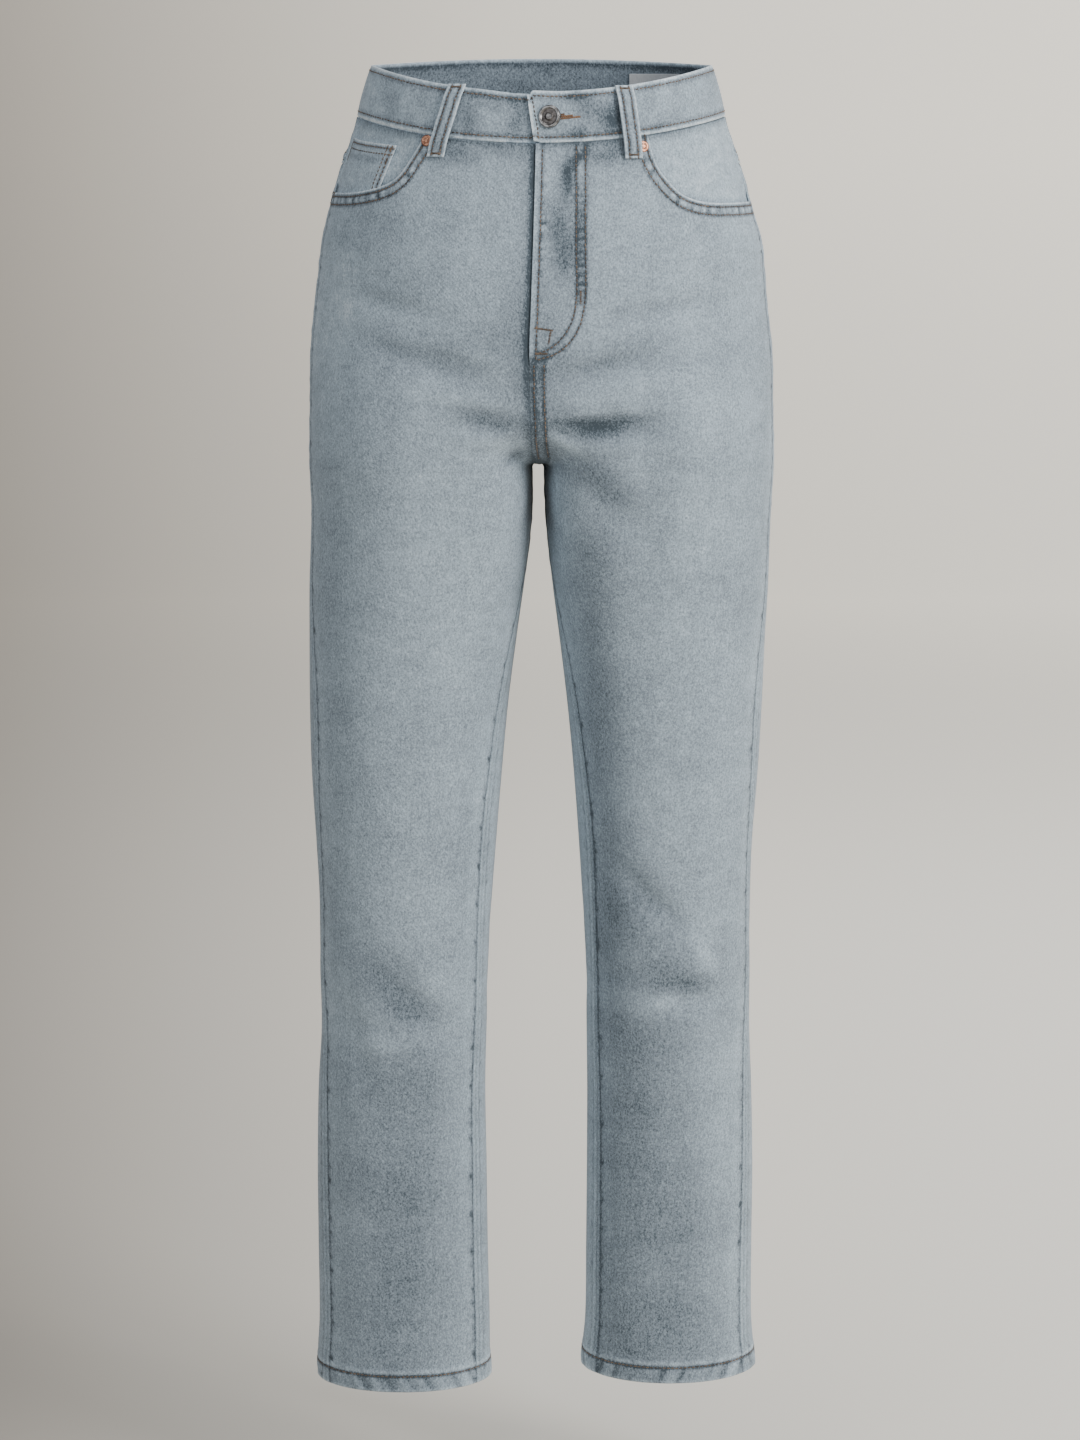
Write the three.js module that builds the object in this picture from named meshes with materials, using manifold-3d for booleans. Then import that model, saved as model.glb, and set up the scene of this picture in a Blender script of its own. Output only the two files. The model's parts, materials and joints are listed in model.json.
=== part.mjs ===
// Straight-leg five-pocket jeans in light washed denim, filled out and hollow.
// The front faces -Y, +X is the wearer's left and +Z is up, all in millimetres.
// The origin is the centre of the waist opening, half way up the waistband.
import * as THREE from 'three';
import Module from 'manifold-3d';
import { mergeVertices } from 'three/addons/utils/BufferGeometryUtils.js';

const wasm = await Module();
wasm.setup();

// Cloth
const CLOTH = 1.3;
const GAP = 0.3;
const BAND_GAP = 0.42;
const BAND_CLOTH = 2.4;
const BAND_PROUD = 0.6;
const HEM_CLOTH = 2.6;
const HEM_PROUD = 0.6;
const RIGHT_HEM_Z = -974;
const LEFT_HEM_Z = -967;
const LOWEST_LEVEL = -975;
const HEM_BLEND_Z = -850;

// Rise: where the front and back centre seams turn under and meet the inseams
const CROTCH_Z = -269;
const CROTCH_X = -2.6;
const ARCH_RADIUS = 4.3;
const RISE = {
  front: { startZ: -225, power: 2.4, blendZ: -145, steadyShare: 0.7 },
  back: { startZ: -185, power: 2.2, blendZ: -145, steadyShare: 0.65 },
};
const BODY_POWER = 2.2;
const WIDEST_Y = 4;

// Waistband: heights of its two edges at the front centre, the sides and the back centre
const BAND_LOW = { front: -29.5, side: -11.5, back: -8 };
const BAND_TOP = { front: 7.5, side: 26.5, back: 31 };
const YOKE_LOW = { centre: -80, side: -46 };

// Heights where the rows of a panel stop following its top edge
const FRONT_LEVEL_Z = -120;
const BACK_LEVEL_Z = -150;

// Outline seen from the front: outer and inner edge of each leg, measured away from x = 0
const outline = [
  { z: -980, rightOut: 171.9, rightIn: 38.8, leftOut: 165.0, leftIn: 31.0 },
  { z: -957, rightOut: 172.3, rightIn: 39.6, leftOut: 163.6, leftIn: 31.4 },
  { z: -930, rightOut: 170.9, rightIn: 39.8, leftOut: 161.6, leftIn: 33.6 },
  { z: -870, rightOut: 171.2, rightIn: 41.2, leftOut: 161.3, leftIn: 34.3 },
  { z: -807, rightOut: 171.5, rightIn: 42.0, leftOut: 161.7, leftIn: 34.8 },
  { z: -744, rightOut: 170.3, rightIn: 42.9, leftOut: 160.4, leftIn: 34.9 },
  { z: -700, rightOut: 167.8, rightIn: 41.8, leftOut: 158.7, leftIn: 34.4 },
  { z: -650, rightOut: 168.8, rightIn: 40.5, leftOut: 158.8, leftIn: 33.8 },
  { z: -600, rightOut: 168.8, rightIn: 37.6, leftOut: 158.7, leftIn: 31.0 },
  { z: -558, rightOut: 170.9, rightIn: 34.4, leftOut: 159.9, leftIn: 28.4 },
  { z: -500, rightOut: 174.2, rightIn: 29.6, leftOut: 164.2, leftIn: 24.1 },
  { z: -450, rightOut: 175.2, rightIn: 24.9, leftOut: 166.8, leftIn: 19.3 },
  { z: -400, rightOut: 175.2, rightIn: 18.5, leftOut: 168.8, leftIn: 13.3 },
  { z: -360, rightOut: 174.9, rightIn: 12.9, leftOut: 171.0, leftIn: 8.2 },
  { z: -330, rightOut: 173.8, rightIn: 9.0, leftOut: 171.8, leftIn: 4.9 },
  { z: -300, rightOut: 173.2, rightIn: 6.7, leftOut: 173.0, leftIn: 2.6 },
  { z: -269, rightOut: 174.4, rightIn: 7.0, leftOut: 174.6, leftIn: 1.9 },
  { z: -223, rightOut: 173.8, rightIn: 7.0, leftOut: 173.8, leftIn: 1.9 },
  { z: -187, rightOut: 173.2, rightIn: 7.0, leftOut: 173.2, leftIn: 1.9 },
  { z: -151, rightOut: 170.0, rightIn: 7.0, leftOut: 169.2, leftIn: 1.9 },
  { z: -127, rightOut: 167.0, rightIn: 7.0, leftOut: 167.2, leftIn: 1.9 },
  { z: -103, rightOut: 164.0, rightIn: 7.0, leftOut: 164.6, leftIn: 1.9 },
  { z: -80, rightOut: 158.6, rightIn: 7.0, leftOut: 157.6, leftIn: 1.9 },
  { z: -56, rightOut: 151.9, rightIn: 7.0, leftOut: 151.1, leftIn: 1.9 },
  { z: -30, rightOut: 142.6, rightIn: 7.0, leftOut: 142.2, leftIn: 1.9 },
  { z: -12, rightOut: 137.0, rightIn: 7.0, leftOut: 136.6, leftIn: 1.9 },
  { z: 0, rightOut: 134.0, rightIn: 7.0, leftOut: 133.8, leftIn: 1.9 },
  { z: 15, rightOut: 129.6, rightIn: 7.0, leftOut: 129.8, leftIn: 1.9 },
  { z: 34, rightOut: 124.8, rightIn: 7.0, leftOut: 125.2, leftIn: 1.9 },
];

// Outline seen from the side: the front and the back of each section
const profile = [
  { z: -980, front: -51, back: 64 },
  { z: -930, front: -52, back: 66 },
  { z: -880, front: -54, back: 69 },
  { z: -820, front: -57, back: 73 },
  { z: -760, front: -60, back: 76 },
  { z: -700, front: -64, back: 77 },
  { z: -640, front: -68, back: 78 },
  { z: -580, front: -71, back: 80 },
  { z: -520, front: -76, back: 84 },
  { z: -460, front: -82, back: 89 },
  { z: -400, front: -88, back: 96 },
  { z: -350, front: -94, back: 103 },
  { z: -300, front: -100, back: 112 },
  { z: -260, front: -105, back: 121 },
  { z: -220, front: -110, back: 129 },
  { z: -180, front: -112, back: 132 },
  { z: -140, front: -112, back: 129 },
  { z: -100, front: -109, back: 122 },
  { z: -60, front: -104, back: 112 },
  { z: -30, front: -99, back: 104 },
  { z: 0, front: -95, back: 97 },
  { z: 34, front: -91, back: 92 },
];

// Seams: how far the outseam and inseam lie towards the front, as a share of the front depth,
// the squareness of the inner thigh, and where the front centre seam runs
const seams = [
  { z: -980, outseam: 0.51, inseam: 0.52, innerPower: 2.2, flyX: CROTCH_X },
  { z: -820, outseam: 0.50, inseam: 0.52, innerPower: 2.2, flyX: CROTCH_X },
  { z: -745, outseam: 0.46, inseam: 0.51, innerPower: 2.2, flyX: CROTCH_X },
  { z: -665, outseam: 0.34, inseam: 0.48, innerPower: 2.2, flyX: CROTCH_X },
  { z: -600, outseam: 0.34, inseam: 0.52, innerPower: 2.2, flyX: CROTCH_X },
  { z: -545, outseam: 0.37, inseam: 0.54, innerPower: 2.2, flyX: CROTCH_X },
  { z: -487, outseam: 0.43, inseam: 0.49, innerPower: 2.2, flyX: CROTCH_X },
  { z: -440, outseam: 0.42, inseam: 0.45, innerPower: 2.3, flyX: CROTCH_X },
  { z: -400, outseam: 0.35, inseam: 0.40, innerPower: 2.5, flyX: CROTCH_X },
  { z: -350, outseam: 0.27, inseam: 0.27, innerPower: 2.9, flyX: CROTCH_X },
  { z: -300, outseam: 0.25, inseam: 0.12, innerPower: 3.4, flyX: CROTCH_X },
  { z: -269, outseam: 0.23, inseam: 0.08, innerPower: 3.5, flyX: CROTCH_X },
  { z: -258, outseam: 0.23, inseam: 0.08, innerPower: 3.5, flyX: -6.2 },
  { z: -235, outseam: 0.22, inseam: 0.08, innerPower: 3.5, flyX: -8.2 },
  { z: -178, outseam: 0.22, inseam: 0.08, innerPower: 3.5, flyX: -9.2 },
  { z: -148, outseam: 0.21, inseam: 0.08, innerPower: 3.5, flyX: -8.0 },
  { z: -37, outseam: 0.18, inseam: 0.08, innerPower: 3.5, flyX: -4.6 },
  { z: 34, outseam: 0.15, inseam: 0.08, innerPower: 3.5, flyX: -4.0 },
];

// Largest folds: centre, slope of the fold line, its half length, half width and depth
const folds = [
  { part: 'front', x: -105, z: -149, slope: -0.24, reach: 34, width: 9, depth: 2.2 },
  { part: 'front', x: -72, z: -193, slope: -0.30, reach: 42, width: 10, depth: 3.0 },
  { part: 'front', x: -38, z: -234, slope: -0.07, reach: 26, width: 9, depth: 2.6 },
  { part: 'front', x: -96, z: -672, slope: -1.10, reach: 42, width: 13, depth: 3.4 },
  { part: 'front', x: -142, z: -700, slope: -2.80, reach: 46, width: 12, depth: 2.2 },
  { part: 'front', x: 93, z: -152, slope: 0.15, reach: 38, width: 9, depth: 1.8 },
  { part: 'front', x: 48, z: -193, slope: 0.20, reach: 38, width: 10, depth: 2.8 },
  { part: 'front', x: 50, z: -238, slope: 0.08, reach: 34, width: 9, depth: 3.4 },
  { part: 'front', x: 50, z: -298, slope: -0.70, reach: 30, width: 16, depth: 2.6 },
  { part: 'front', x: 80, z: -592, slope: -0.95, reach: 36, width: 12, depth: 3.2 },
  { part: 'front', x: 116, z: -668, slope: 0.05, reach: 26, width: 10, depth: 2.8 },
  { part: 'back', x: -84, z: -262, slope: 0.26, reach: 52, width: 11, depth: 3.2 },
  { part: 'back', x: -96, z: -304, slope: 0.12, reach: 44, width: 12, depth: 2.6 },
  { part: 'back', x: -104, z: -628, slope: 0.16, reach: 44, width: 12, depth: 3.4 },
  { part: 'back', x: -96, z: -662, slope: -0.20, reach: 40, width: 11, depth: 2.6 },
  { part: 'back', x: 82, z: -258, slope: -0.24, reach: 50, width: 11, depth: 3.0 },
  { part: 'back', x: 92, z: -298, slope: -0.16, reach: 46, width: 12, depth: 2.8 },
  { part: 'back', x: 98, z: -618, slope: -0.14, reach: 42, width: 12, depth: 3.2 },
  { part: 'back', x: 90, z: -656, slope: 0.22, reach: 42, width: 11, depth: 2.8 },
];

// Scooped pocket openings, from the waistband to the side seam
const scoops = {
  right: [
    { x: -84.5, z: -22 }, { x: -89, z: -31 }, { x: -95, z: -40.5 }, { x: -102, z: -51 },
    { x: -109, z: -57.5 }, { x: -118, z: -61.8 }, { x: -128, z: -64.6 }, { x: -141, z: -66.8 },
    { x: -158, z: -67.6 },
  ],
  left: [
    { x: 77.5, z: -22 }, { x: 79, z: -31 }, { x: 81.5, z: -40 }, { x: 86, z: -49 },
    { x: 92.5, z: -57.5 }, { x: 100, z: -65 }, { x: 110, z: -70.5 }, { x: 122, z: -73.2 },
    { x: 136, z: -74 }, { x: 160, z: -74 },
  ],
};

// Rows of the panels below their top block, and columns from the side seam inwards
const frontLevels = [
  -135, -150, -165, -180, -193, -205, -216, -227, -237, -246, -253.5, -259.5, -264, -267,
  -268.6, -269, -270.2, -272, -274.5, -288, -304, -325, -352, -385, -425, -470, -520, -565, -592, -618,
  -645, -672, -700, -745, -800, -860, -920, -962.5, -963, -975,
];
const backLevels = [
  -165, -180, -195, -209, -222, -234, -244, -252, -259, -264, -267, -268.6,
  -269, -270.2, -272, -274.5, -288, -302, -325, -352, -385, -425, -470, -520, -565, -592, -618,
  -645, -672, -700, -745, -800, -860, -920, -962.5, -963, -975,
];
const topBlock = [0, 0.16, 0.34, 0.55, 0.78, 1];
const frontColumns = [0, 0.06, 0.15, 0.25, 0.36, 0.47, 0.58, 0.69, 0.79, 0.88, 0.94, 0.98, 1];
const backColumns = [0, 0.07, 0.16, 0.25, 0.34, 0.43, 0.52, 0.6, 0.68, 0.77, 0.87, 0.95, 1];

const interpolantOf = (rows) => {
  const names = Object.keys(rows[0]).filter((name) => name !== 'z');
  const heights = Float64Array.from(rows.map((row) => row.z));
  const values = Float64Array.from(rows.flatMap((row) => names.map((name) => row[name])));
  const curve = new THREE.CubicInterpolant(heights, values, names.length);
  return (z) => {
    const found = curve.evaluate(z);
    return Object.fromEntries(names.map((name, index) => [name, found[index]]));
  };
};
const outlineAt = interpolantOf(outline);
const profileAt = interpolantOf(profile);
const seamsAt = interpolantOf(seams);

const mix = (a, b, t) => a + (b - a) * t;
const clamp = (v, low, high) => Math.min(high, Math.max(low, v));
const ease = (v) => clamp(v, 0, 1) ** 2 * (3 - 2 * clamp(v, 0, 1));
const signedPower = (v, power) => Math.sign(v) * Math.abs(v) ** power;
const radians = THREE.MathUtils.degToRad;
const nameOf = (side) => (side < 0 ? 'right' : 'left');

// Height of the band's lower or upper edge, across = 0 at the centre and 1 at the side
const edgeAt = (edge, part, across) => mix(edge[part], edge.side, across * across);
const yokeEdgeAt = (across) => mix(YOKE_LOW.centre, YOKE_LOW.side, across);

const foldDepth = (part, x, z) => folds.reduce((sum, fold) => {
  if (fold.part !== part) {
    return sum;
  }
  const size = Math.hypot(1, fold.slope);
  const along = ((x - fold.x) + (z - fold.z) * fold.slope) / size;
  const over = ((z - fold.z) - (x - fold.x) * fold.slope) / size;
  return sum - fold.depth * Math.exp(-((along / fold.reach) ** 2) - (over / fold.width) ** 2);
}, 0);

const seamX = (part, z) => (part === 'front' ? seamsAt(z).flyX : CROTCH_X);

// Where a section ends: on the centre seam above the crotch, on the inseam below it
const endDepth = (part, z) => {
  const { front, back } = profileAt(Math.max(z, CROTCH_Z));
  const turn = seamsAt(Math.max(z, CROTCH_Z));
  const crotchY = WIDEST_Y - (WIDEST_Y - profileAt(CROTCH_Z).front) * turn.inseam;
  const { startZ, power } = RISE[part];
  const height = clamp((z - CROTCH_Z) / (startZ - CROTCH_Z), 0, 1);
  const share = (1 - (1 - height) ** power) ** (1 / power);
  return mix(crotchY, part === 'front' ? front : back, share);
};

const SECTION_STEPS = 72;
const ARCH_POWER = 9;
const LEAST_TURN = 0.03;
const sections = new Map();

// One panel's section at a height: points from the side seam to the centre seam or inseam.
// Up at the hips it is a quarter of one ring, and down at the crotch it has become a leg's half.
const sectionOf = (side, part, z) => {
  const key = `${side} ${part} ${z.toFixed(4)}`;
  if (sections.has(key)) {
    return sections.get(key);
  }
  const edges = outlineAt(z);
  const { front, back } = profileAt(z);
  const turn = seamsAt(z);
  const out = side < 0 ? edges.rightOut : edges.leftOut;
  const inner = side < 0 ? edges.rightIn : edges.leftIn;
  const centre = side * seamX(part, z);
  const legMiddle = (out + inner) / 2;
  const legHalf = (out - inner) / 2;
  const { blendZ } = RISE[part];
  const legBlend = ease((blendZ - z) / (blendZ - CROTCH_Z));
  const away = part === 'front' ? 1 : -1;
  const reachOf = (sine) => (sine > 0 ? WIDEST_Y - front : back - WIDEST_Y);
  const endY = z < CROTCH_Z ? WIDEST_Y - reachOf(1) * turn.inseam : endDepth(part, z);
  const endFront = endY < WIDEST_Y;
  const endShare = clamp(Math.abs(endY - WIDEST_Y) / reachOf(endFront ? 1 : -1), 0, 1);
  const past = Math.asin(endShare ** (turn.innerPower / 2)) * (endFront ? 1 : -1);
  const start = Math.asin(turn.outseam ** (BODY_POWER / 2));
  const turned = Math.max(Math.PI / 2 + LEAST_TURN, Math.PI - past * away);
  const end = away * turned;
  const innerReach = (angle) => Math.abs(Math.cos(angle)) ** (2 / turn.innerPower);
  const below = clamp((CROTCH_Z - z) / ARCH_RADIUS, 0, 1);
  const arch = 1 - Math.sqrt(1 - (1 - below) ** 2);
  const toCentre = legMiddle - legHalf * innerReach(end) - centre;
  const local = ease((0.5 - toCentre / (legMiddle - centre)) / 0.42);
  const apex = WIDEST_Y - away * reachOf(away);
  const points = [];
  const half = SECTION_STEPS / 2;
  for (let step = 0; step <= SECTION_STEPS; step += 1) {
    const outer = step <= half;
    const angle = outer ? mix(start, away * Math.PI / 2, step / half)
      : mix(away * Math.PI / 2, end, (step - half) / half);
    const sine = Math.sin(angle);
    const power = 2 / (outer ? BODY_POWER : turn.innerPower);
    const legY = WIDEST_Y - reachOf(sine) * signedPower(sine, power);
    let x = legMiddle + legHalf * Math.abs(Math.cos(angle)) ** power;
    if (!outer) {
      const near = clamp((legY - apex) / (endY - apex || 1), 0, 1) ** ARCH_POWER;
      const spread = innerReach(angle) / innerReach(end);
      x = legMiddle - legHalf * innerReach(angle) - toCentre * arch * mix(spread, near, local);
    }
    const level = clamp((x - centre) / (out - centre), 0, 1);
    const bodyY = WIDEST_Y - Math.sign(sine) * reachOf(sine)
      * (1 - level ** BODY_POWER) ** (1 / BODY_POWER);
    points.push({ x: side * x, y: mix(bodyY, legY, legBlend), distance: 0 });
  }
  let length = 0;
  points.forEach((point, index) => {
    if (index > 0) {
      length += Math.hypot(point.x - points[index - 1].x, point.y - points[index - 1].y);
    }
    point.distance = length;
  });
  const section = { points, length };
  sections.set(key, section);
  return section;
};

const pointOn = (section, distance) => {
  const { points, length } = section;
  const target = clamp(distance, 0, length);
  let index = 1;
  while (index < points.length - 1 && points[index].distance < target) {
    index += 1;
  }
  const from = points[index - 1];
  const to = points[index];
  const t = (target - from.distance) / (to.distance - from.distance || 1);
  return { x: mix(from.x, to.x, t), y: mix(from.y, to.y, t) };
};

const NUDGE = 0.006;
const LIFT = 0.4;
const SEAM_FADE = 0.09;
const SEAM_TRIM = 0.19;

// Columns keep their places past the crotch, where only the last ones follow the centre seam
const steadyLength = (side, part, z) => {
  const { blendZ } = RISE[part];
  if (z >= blendZ || z <= CROTCH_Z) {
    return sectionOf(side, part, z).length;
  }
  const above = sectionOf(side, part, blendZ).length;
  const below = sectionOf(side, part, CROTCH_Z).length;
  return mix(above, below, ease((blendZ - z) / (blendZ - CROTCH_Z)));
};

const rawPoint = (side, part, share, z) => {
  const section = sectionOf(side, part, z);
  const turn = RISE[part].steadyShare;
  const steady = steadyLength(side, part, z);
  const distance = share < turn ? share * steady
    : mix(turn * steady, section.length, (share - turn) / (1 - turn));
  const found = pointOn(section, clamp(distance, SEAM_TRIM, section.length - SEAM_TRIM));
  return new THREE.Vector3(found.x, found.y, z);
};

// A point of the cloth's outer face and the direction out of it
const frameAt = (side, part, share, z) => {
  const point = rawPoint(side, part, share, z);
  const across = rawPoint(side, part, Math.min(1, share + NUDGE), z)
    .sub(rawPoint(side, part, Math.max(0, share - NUDGE), z));
  const up = rawPoint(side, part, share, z + LIFT).sub(rawPoint(side, part, share, z - LIFT));
  const normal = across.cross(up);
  normal.multiplyScalar(side * (part === 'front' ? -1 : 1));
  const onCentre = share > 0.999 && z > CROTCH_Z - 0.01;
  if (onCentre) {
    const seam = seamX(part, z);
    point.x = seam + side * Math.max(GAP / 2, side * (point.x - seam));
    normal.x = 0;
    if (z < CROTCH_Z + 0.01) {
      normal.set(0, 0, -1);
    }
  }
  normal.normalize();
  const fade = ease(share / SEAM_FADE) * ease((1 - share) / SEAM_FADE);
  point.addScaledVector(normal, foldDepth(part, point.x, z) * fade);
  return { point, normal };
};

// How far out from the centre seam a column lies, for the edges that follow the waistband
const acrossAt = (side, part, share) => {
  const z = BAND_LOW.side;
  const { x } = rawPoint(side, part, share, z);
  const edges = outlineAt(z);
  const seam = seamX(part, z);
  const out = side < 0 ? edges.rightOut : edges.leftOut;
  return clamp((side * (x - seam)) / (out - side * seam), 0, 1);
};

// Hip ring: angle 0 is the front centre, -90 degrees the wearer's right side
const ringPoint = (angle, z) => {
  const turned = Math.atan2(Math.sin(angle), Math.cos(angle));
  const side = turned < 0 ? -1 : 1;
  const part = Math.abs(turned) < Math.PI / 2 ? 'front' : 'back';
  const edges = outlineAt(z);
  const { front, back } = profileAt(z);
  const seam = mix(seamX('front', z), CROTCH_X, part === 'front' ? 0 : 1);
  const out = side < 0 ? edges.rightOut : edges.leftOut;
  const spread = Math.abs(Math.sin(turned)) ** (2 / BODY_POWER);
  const depth = Math.abs(Math.cos(turned)) ** (2 / BODY_POWER);
  const x = seam + side * (out - side * seam) * spread;
  const y = part === 'front' ? WIDEST_Y - (WIDEST_Y - front) * depth
    : WIDEST_Y + (back - WIDEST_Y) * depth;
  return new THREE.Vector3(x, y, z);
};

const ringFrame = (angle, z) => {
  const point = ringPoint(angle, z);
  const turn = 0.01;
  const across = ringPoint(angle + turn, z).sub(ringPoint(angle - turn, z));
  const up = ringPoint(angle, z + LIFT).sub(ringPoint(angle, z - LIFT));
  const normal = across.cross(up).normalize();
  const part = Math.cos(angle) > 0 ? 'front' : 'back';
  point.addScaledVector(normal, foldDepth(part, point.x, z));
  return { point, normal };
};

// Angle round the hip ring of a given x, at the front or the back
const angleAt = (part, x, z) => {
  const side = x < seamX(part, z) ? -1 : 1;
  const edges = outlineAt(z);
  const seam = seamX(part, z);
  const out = side < 0 ? edges.rightOut : edges.leftOut;
  const spread = clamp((side * (x - seam)) / (out - side * seam), 0, 1);
  const angle = Math.asin(clamp(spread ** (BODY_POWER / 2), 0, 1));
  return side * (part === 'front' ? angle : Math.PI - angle);
};

// A closed wall of cloth over a grid of frames, from an outer to an inner distance
const wallOf = (frames, outerAt, innerAt) => {
  const rows = frames.length;
  const columns = frames[0].length;
  const positions = [];
  const put = (distanceAt) => frames.forEach((row, i) => row.forEach((frame, j) => {
    const place = frame.point.clone().addScaledVector(frame.normal, distanceAt(i, j));
    positions.push(place.x, place.y, place.z);
  }));
  put(outerAt);
  put(innerAt);
  const at = (i, j) => i * columns + j;
  const inside = rows * columns;
  const faces = [];
  const quad = (a, b, c, d) => faces.push(a, b, c, a, c, d);
  for (let i = 0; i < rows - 1; i += 1) {
    for (let j = 0; j < columns - 1; j += 1) {
      quad(at(i, j), at(i + 1, j), at(i + 1, j + 1), at(i, j + 1));
      quad(inside + at(i, j), inside + at(i, j + 1), inside + at(i + 1, j + 1),
        inside + at(i + 1, j));
    }
  }
  const rim = [];
  for (let j = 0; j < columns - 1; j += 1) {
    rim.push(at(0, j));
  }
  for (let i = 0; i < rows - 1; i += 1) {
    rim.push(at(i, columns - 1));
  }
  for (let j = columns - 1; j > 0; j -= 1) {
    rim.push(at(rows - 1, j));
  }
  for (let i = rows - 1; i > 0; i -= 1) {
    rim.push(at(i, 0));
  }
  rim.forEach((a, index) => {
    const b = rim[(index + 1) % rim.length];
    quad(a, b, inside + b, inside + a);
  });
  const row = Math.floor(rows / 2);
  const column = Math.floor(columns / 2);
  const corner = frames[row - 1][column - 1];
  const down = frames[row][column - 1].point.clone().sub(corner.point);
  const along = frames[row][column].point.clone().sub(corner.point);
  if (down.cross(along).dot(corner.normal) < 0) {
    for (let index = 0; index < faces.length; index += 3) {
      [faces[index + 1], faces[index + 2]] = [faces[index + 2], faces[index + 1]];
    }
  }
  const geometry = new THREE.BufferGeometry();
  geometry.setAttribute('position', new THREE.Float32BufferAttribute(positions, 3));
  geometry.setIndex(faces);
  geometry.computeVertexNormals();
  return geometry;
};

const solidOf = (geometry) => {
  const bare = new THREE.BufferGeometry();
  bare.setAttribute('position', geometry.getAttribute('position').clone());
  if (geometry.index) {
    bare.setIndex(geometry.index.clone());
  }
  const merged = mergeVertices(bare, 1e-4);
  return new wasm.Manifold(new wasm.Mesh({
    numProp: 3,
    vertProperties: new Float32Array(merged.getAttribute('position').array),
    triVerts: new Uint32Array(merged.index.array),
  }));
};

const geometryOf = (solid) => {
  const mesh = solid.getMesh();
  const geometry = new THREE.BufferGeometry();
  geometry.setAttribute('position', new THREE.Float32BufferAttribute(mesh.vertProperties, 3));
  geometry.setIndex(Array.from(mesh.triVerts));
  geometry.computeVertexNormals();
  return geometry;
};

// A prism along Y over an outline given by x and z, through the front or the back only
const prismDepths = { front: { from: -150, to: 30 }, back: { from: 10, to: 170 } };
const prismOf = (corners, part) => {
  const shape = new THREE.Shape(corners.map(({ x, z }) => new THREE.Vector2(x, z)));
  const { from, to } = prismDepths[part];
  const geometry = new THREE.ExtrudeGeometry(shape, { depth: to - from, bevelEnabled: false });
  geometry.rotateX(Math.PI / 2);
  geometry.translate(0, to, 0);
  return geometry;
};

// A layer over or under part of a panel, made from that panel's own frames
const layerOf = (frames, rows, columns, outer, inner) => wallOf(
  rows.map((row) => columns.map((column) => frames[row][column])),
  () => outer,
  () => inner,
);
const span = (from, to) => Array.from({ length: to - from + 1 }, (_, index) => from + index);

const denim = { color: 0x9aa6ad, roughness: 0.92, metalness: 0 };
const denimShade = { color: 0x8794a0, roughness: 0.93, metalness: 0 };
const denimDark = { color: 0x6b7885, roughness: 0.94, metalness: 0 };
const steel = { color: 0x8b8a88, roughness: 0.38, metalness: 1 };
const copper = { color: 0xb0704a, roughness: 0.42, metalness: 1 };
const tape = { color: 0xd8dadb, roughness: 0.85, metalness: 0 };

const jeans = new THREE.Group();
const addMesh = (name, geometry, finish) => {
  const mesh = new THREE.Mesh(geometry, new THREE.MeshStandardMaterial(finish));
  mesh.name = name;
  jeans.add(mesh);
  return mesh;
};

// Panels
const hemZ = (side) => (side < 0 ? RIGHT_HEM_Z : LEFT_HEM_Z);
const levelAt = (side, level) => {
  if (level >= HEM_BLEND_Z) {
    return level;
  }
  const share = (level - HEM_BLEND_Z) / (LOWEST_LEVEL - HEM_BLEND_Z);
  return mix(HEM_BLEND_Z, hemZ(side), share);
};

const panelFrames = (side, part, topAt, blockEnd, levels, shares) => {
  const rows = topBlock.map((t) => shares.map((share) => {
    const top = topAt(acrossAt(side, part, share));
    return frameAt(side, part, share, mix(top, blockEnd, t));
  }));
  levels.forEach((level) => {
    rows.push(shares.map((share) => frameAt(side, part, share, levelAt(side, level))));
  });
  return rows;
};

const isHemRow = (rowCount, row) => row >= rowCount - 2;

const FLY_EDGE_LIFT = 0.8;
const FLY_EDGE_ROWS = 11;

const panels = { front: {}, back: {} };

for (const side of [-1, 1]) {
  const name = nameOf(side);
  const frames = panelFrames(
    side, 'front', (across) => edgeAt(BAND_LOW, 'front', across) - BAND_GAP,
    FRONT_LEVEL_Z, frontLevels, frontColumns,
  );
  panels.front[name] = frames;
  const last = frontColumns.length - 1;
  const outerAt = (row, column) => {
    if (isHemRow(frames.length, row)) {
      return HEM_PROUD;
    }
    // The left front's folded edge stands over the right front down to the end of the fly
    return side > 0 && column >= last - 1 && row < FLY_EDGE_ROWS ? FLY_EDGE_LIFT : 0;
  };
  const innerAt = (row) => (isHemRow(frames.length, row) ? HEM_PROUD - HEM_CLOTH : -CLOTH);
  const panel = wallOf(frames, outerAt, innerAt);
  const curve = scoops[name];
  const outside = side * 190;
  const corners = [...curve, { x: outside, z: curve[curve.length - 1].z },
    { x: outside, z: 20 }, { x: curve[0].x, z: 20 }];
  const cut = solidOf(panel).subtract(solidOf(prismOf(corners, 'front')));
  addMesh(`front_${name}`, geometryOf(cut), denim);
}

for (const side of [-1, 1]) {
  const frames = panelFrames(
    side, 'back', (across) => yokeEdgeAt(across) - GAP / 2,
    BACK_LEVEL_Z, backLevels, backColumns,
  );
  panels.back[nameOf(side)] = frames;
  const outerAt = (row) => (isHemRow(frames.length, row) ? HEM_PROUD : 0);
  const innerAt = (row) => (isHemRow(frames.length, row) ? HEM_PROUD - HEM_CLOTH : -CLOTH);
  addMesh(`back_${nameOf(side)}`, wallOf(frames, outerAt, innerAt), denim);
}

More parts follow.
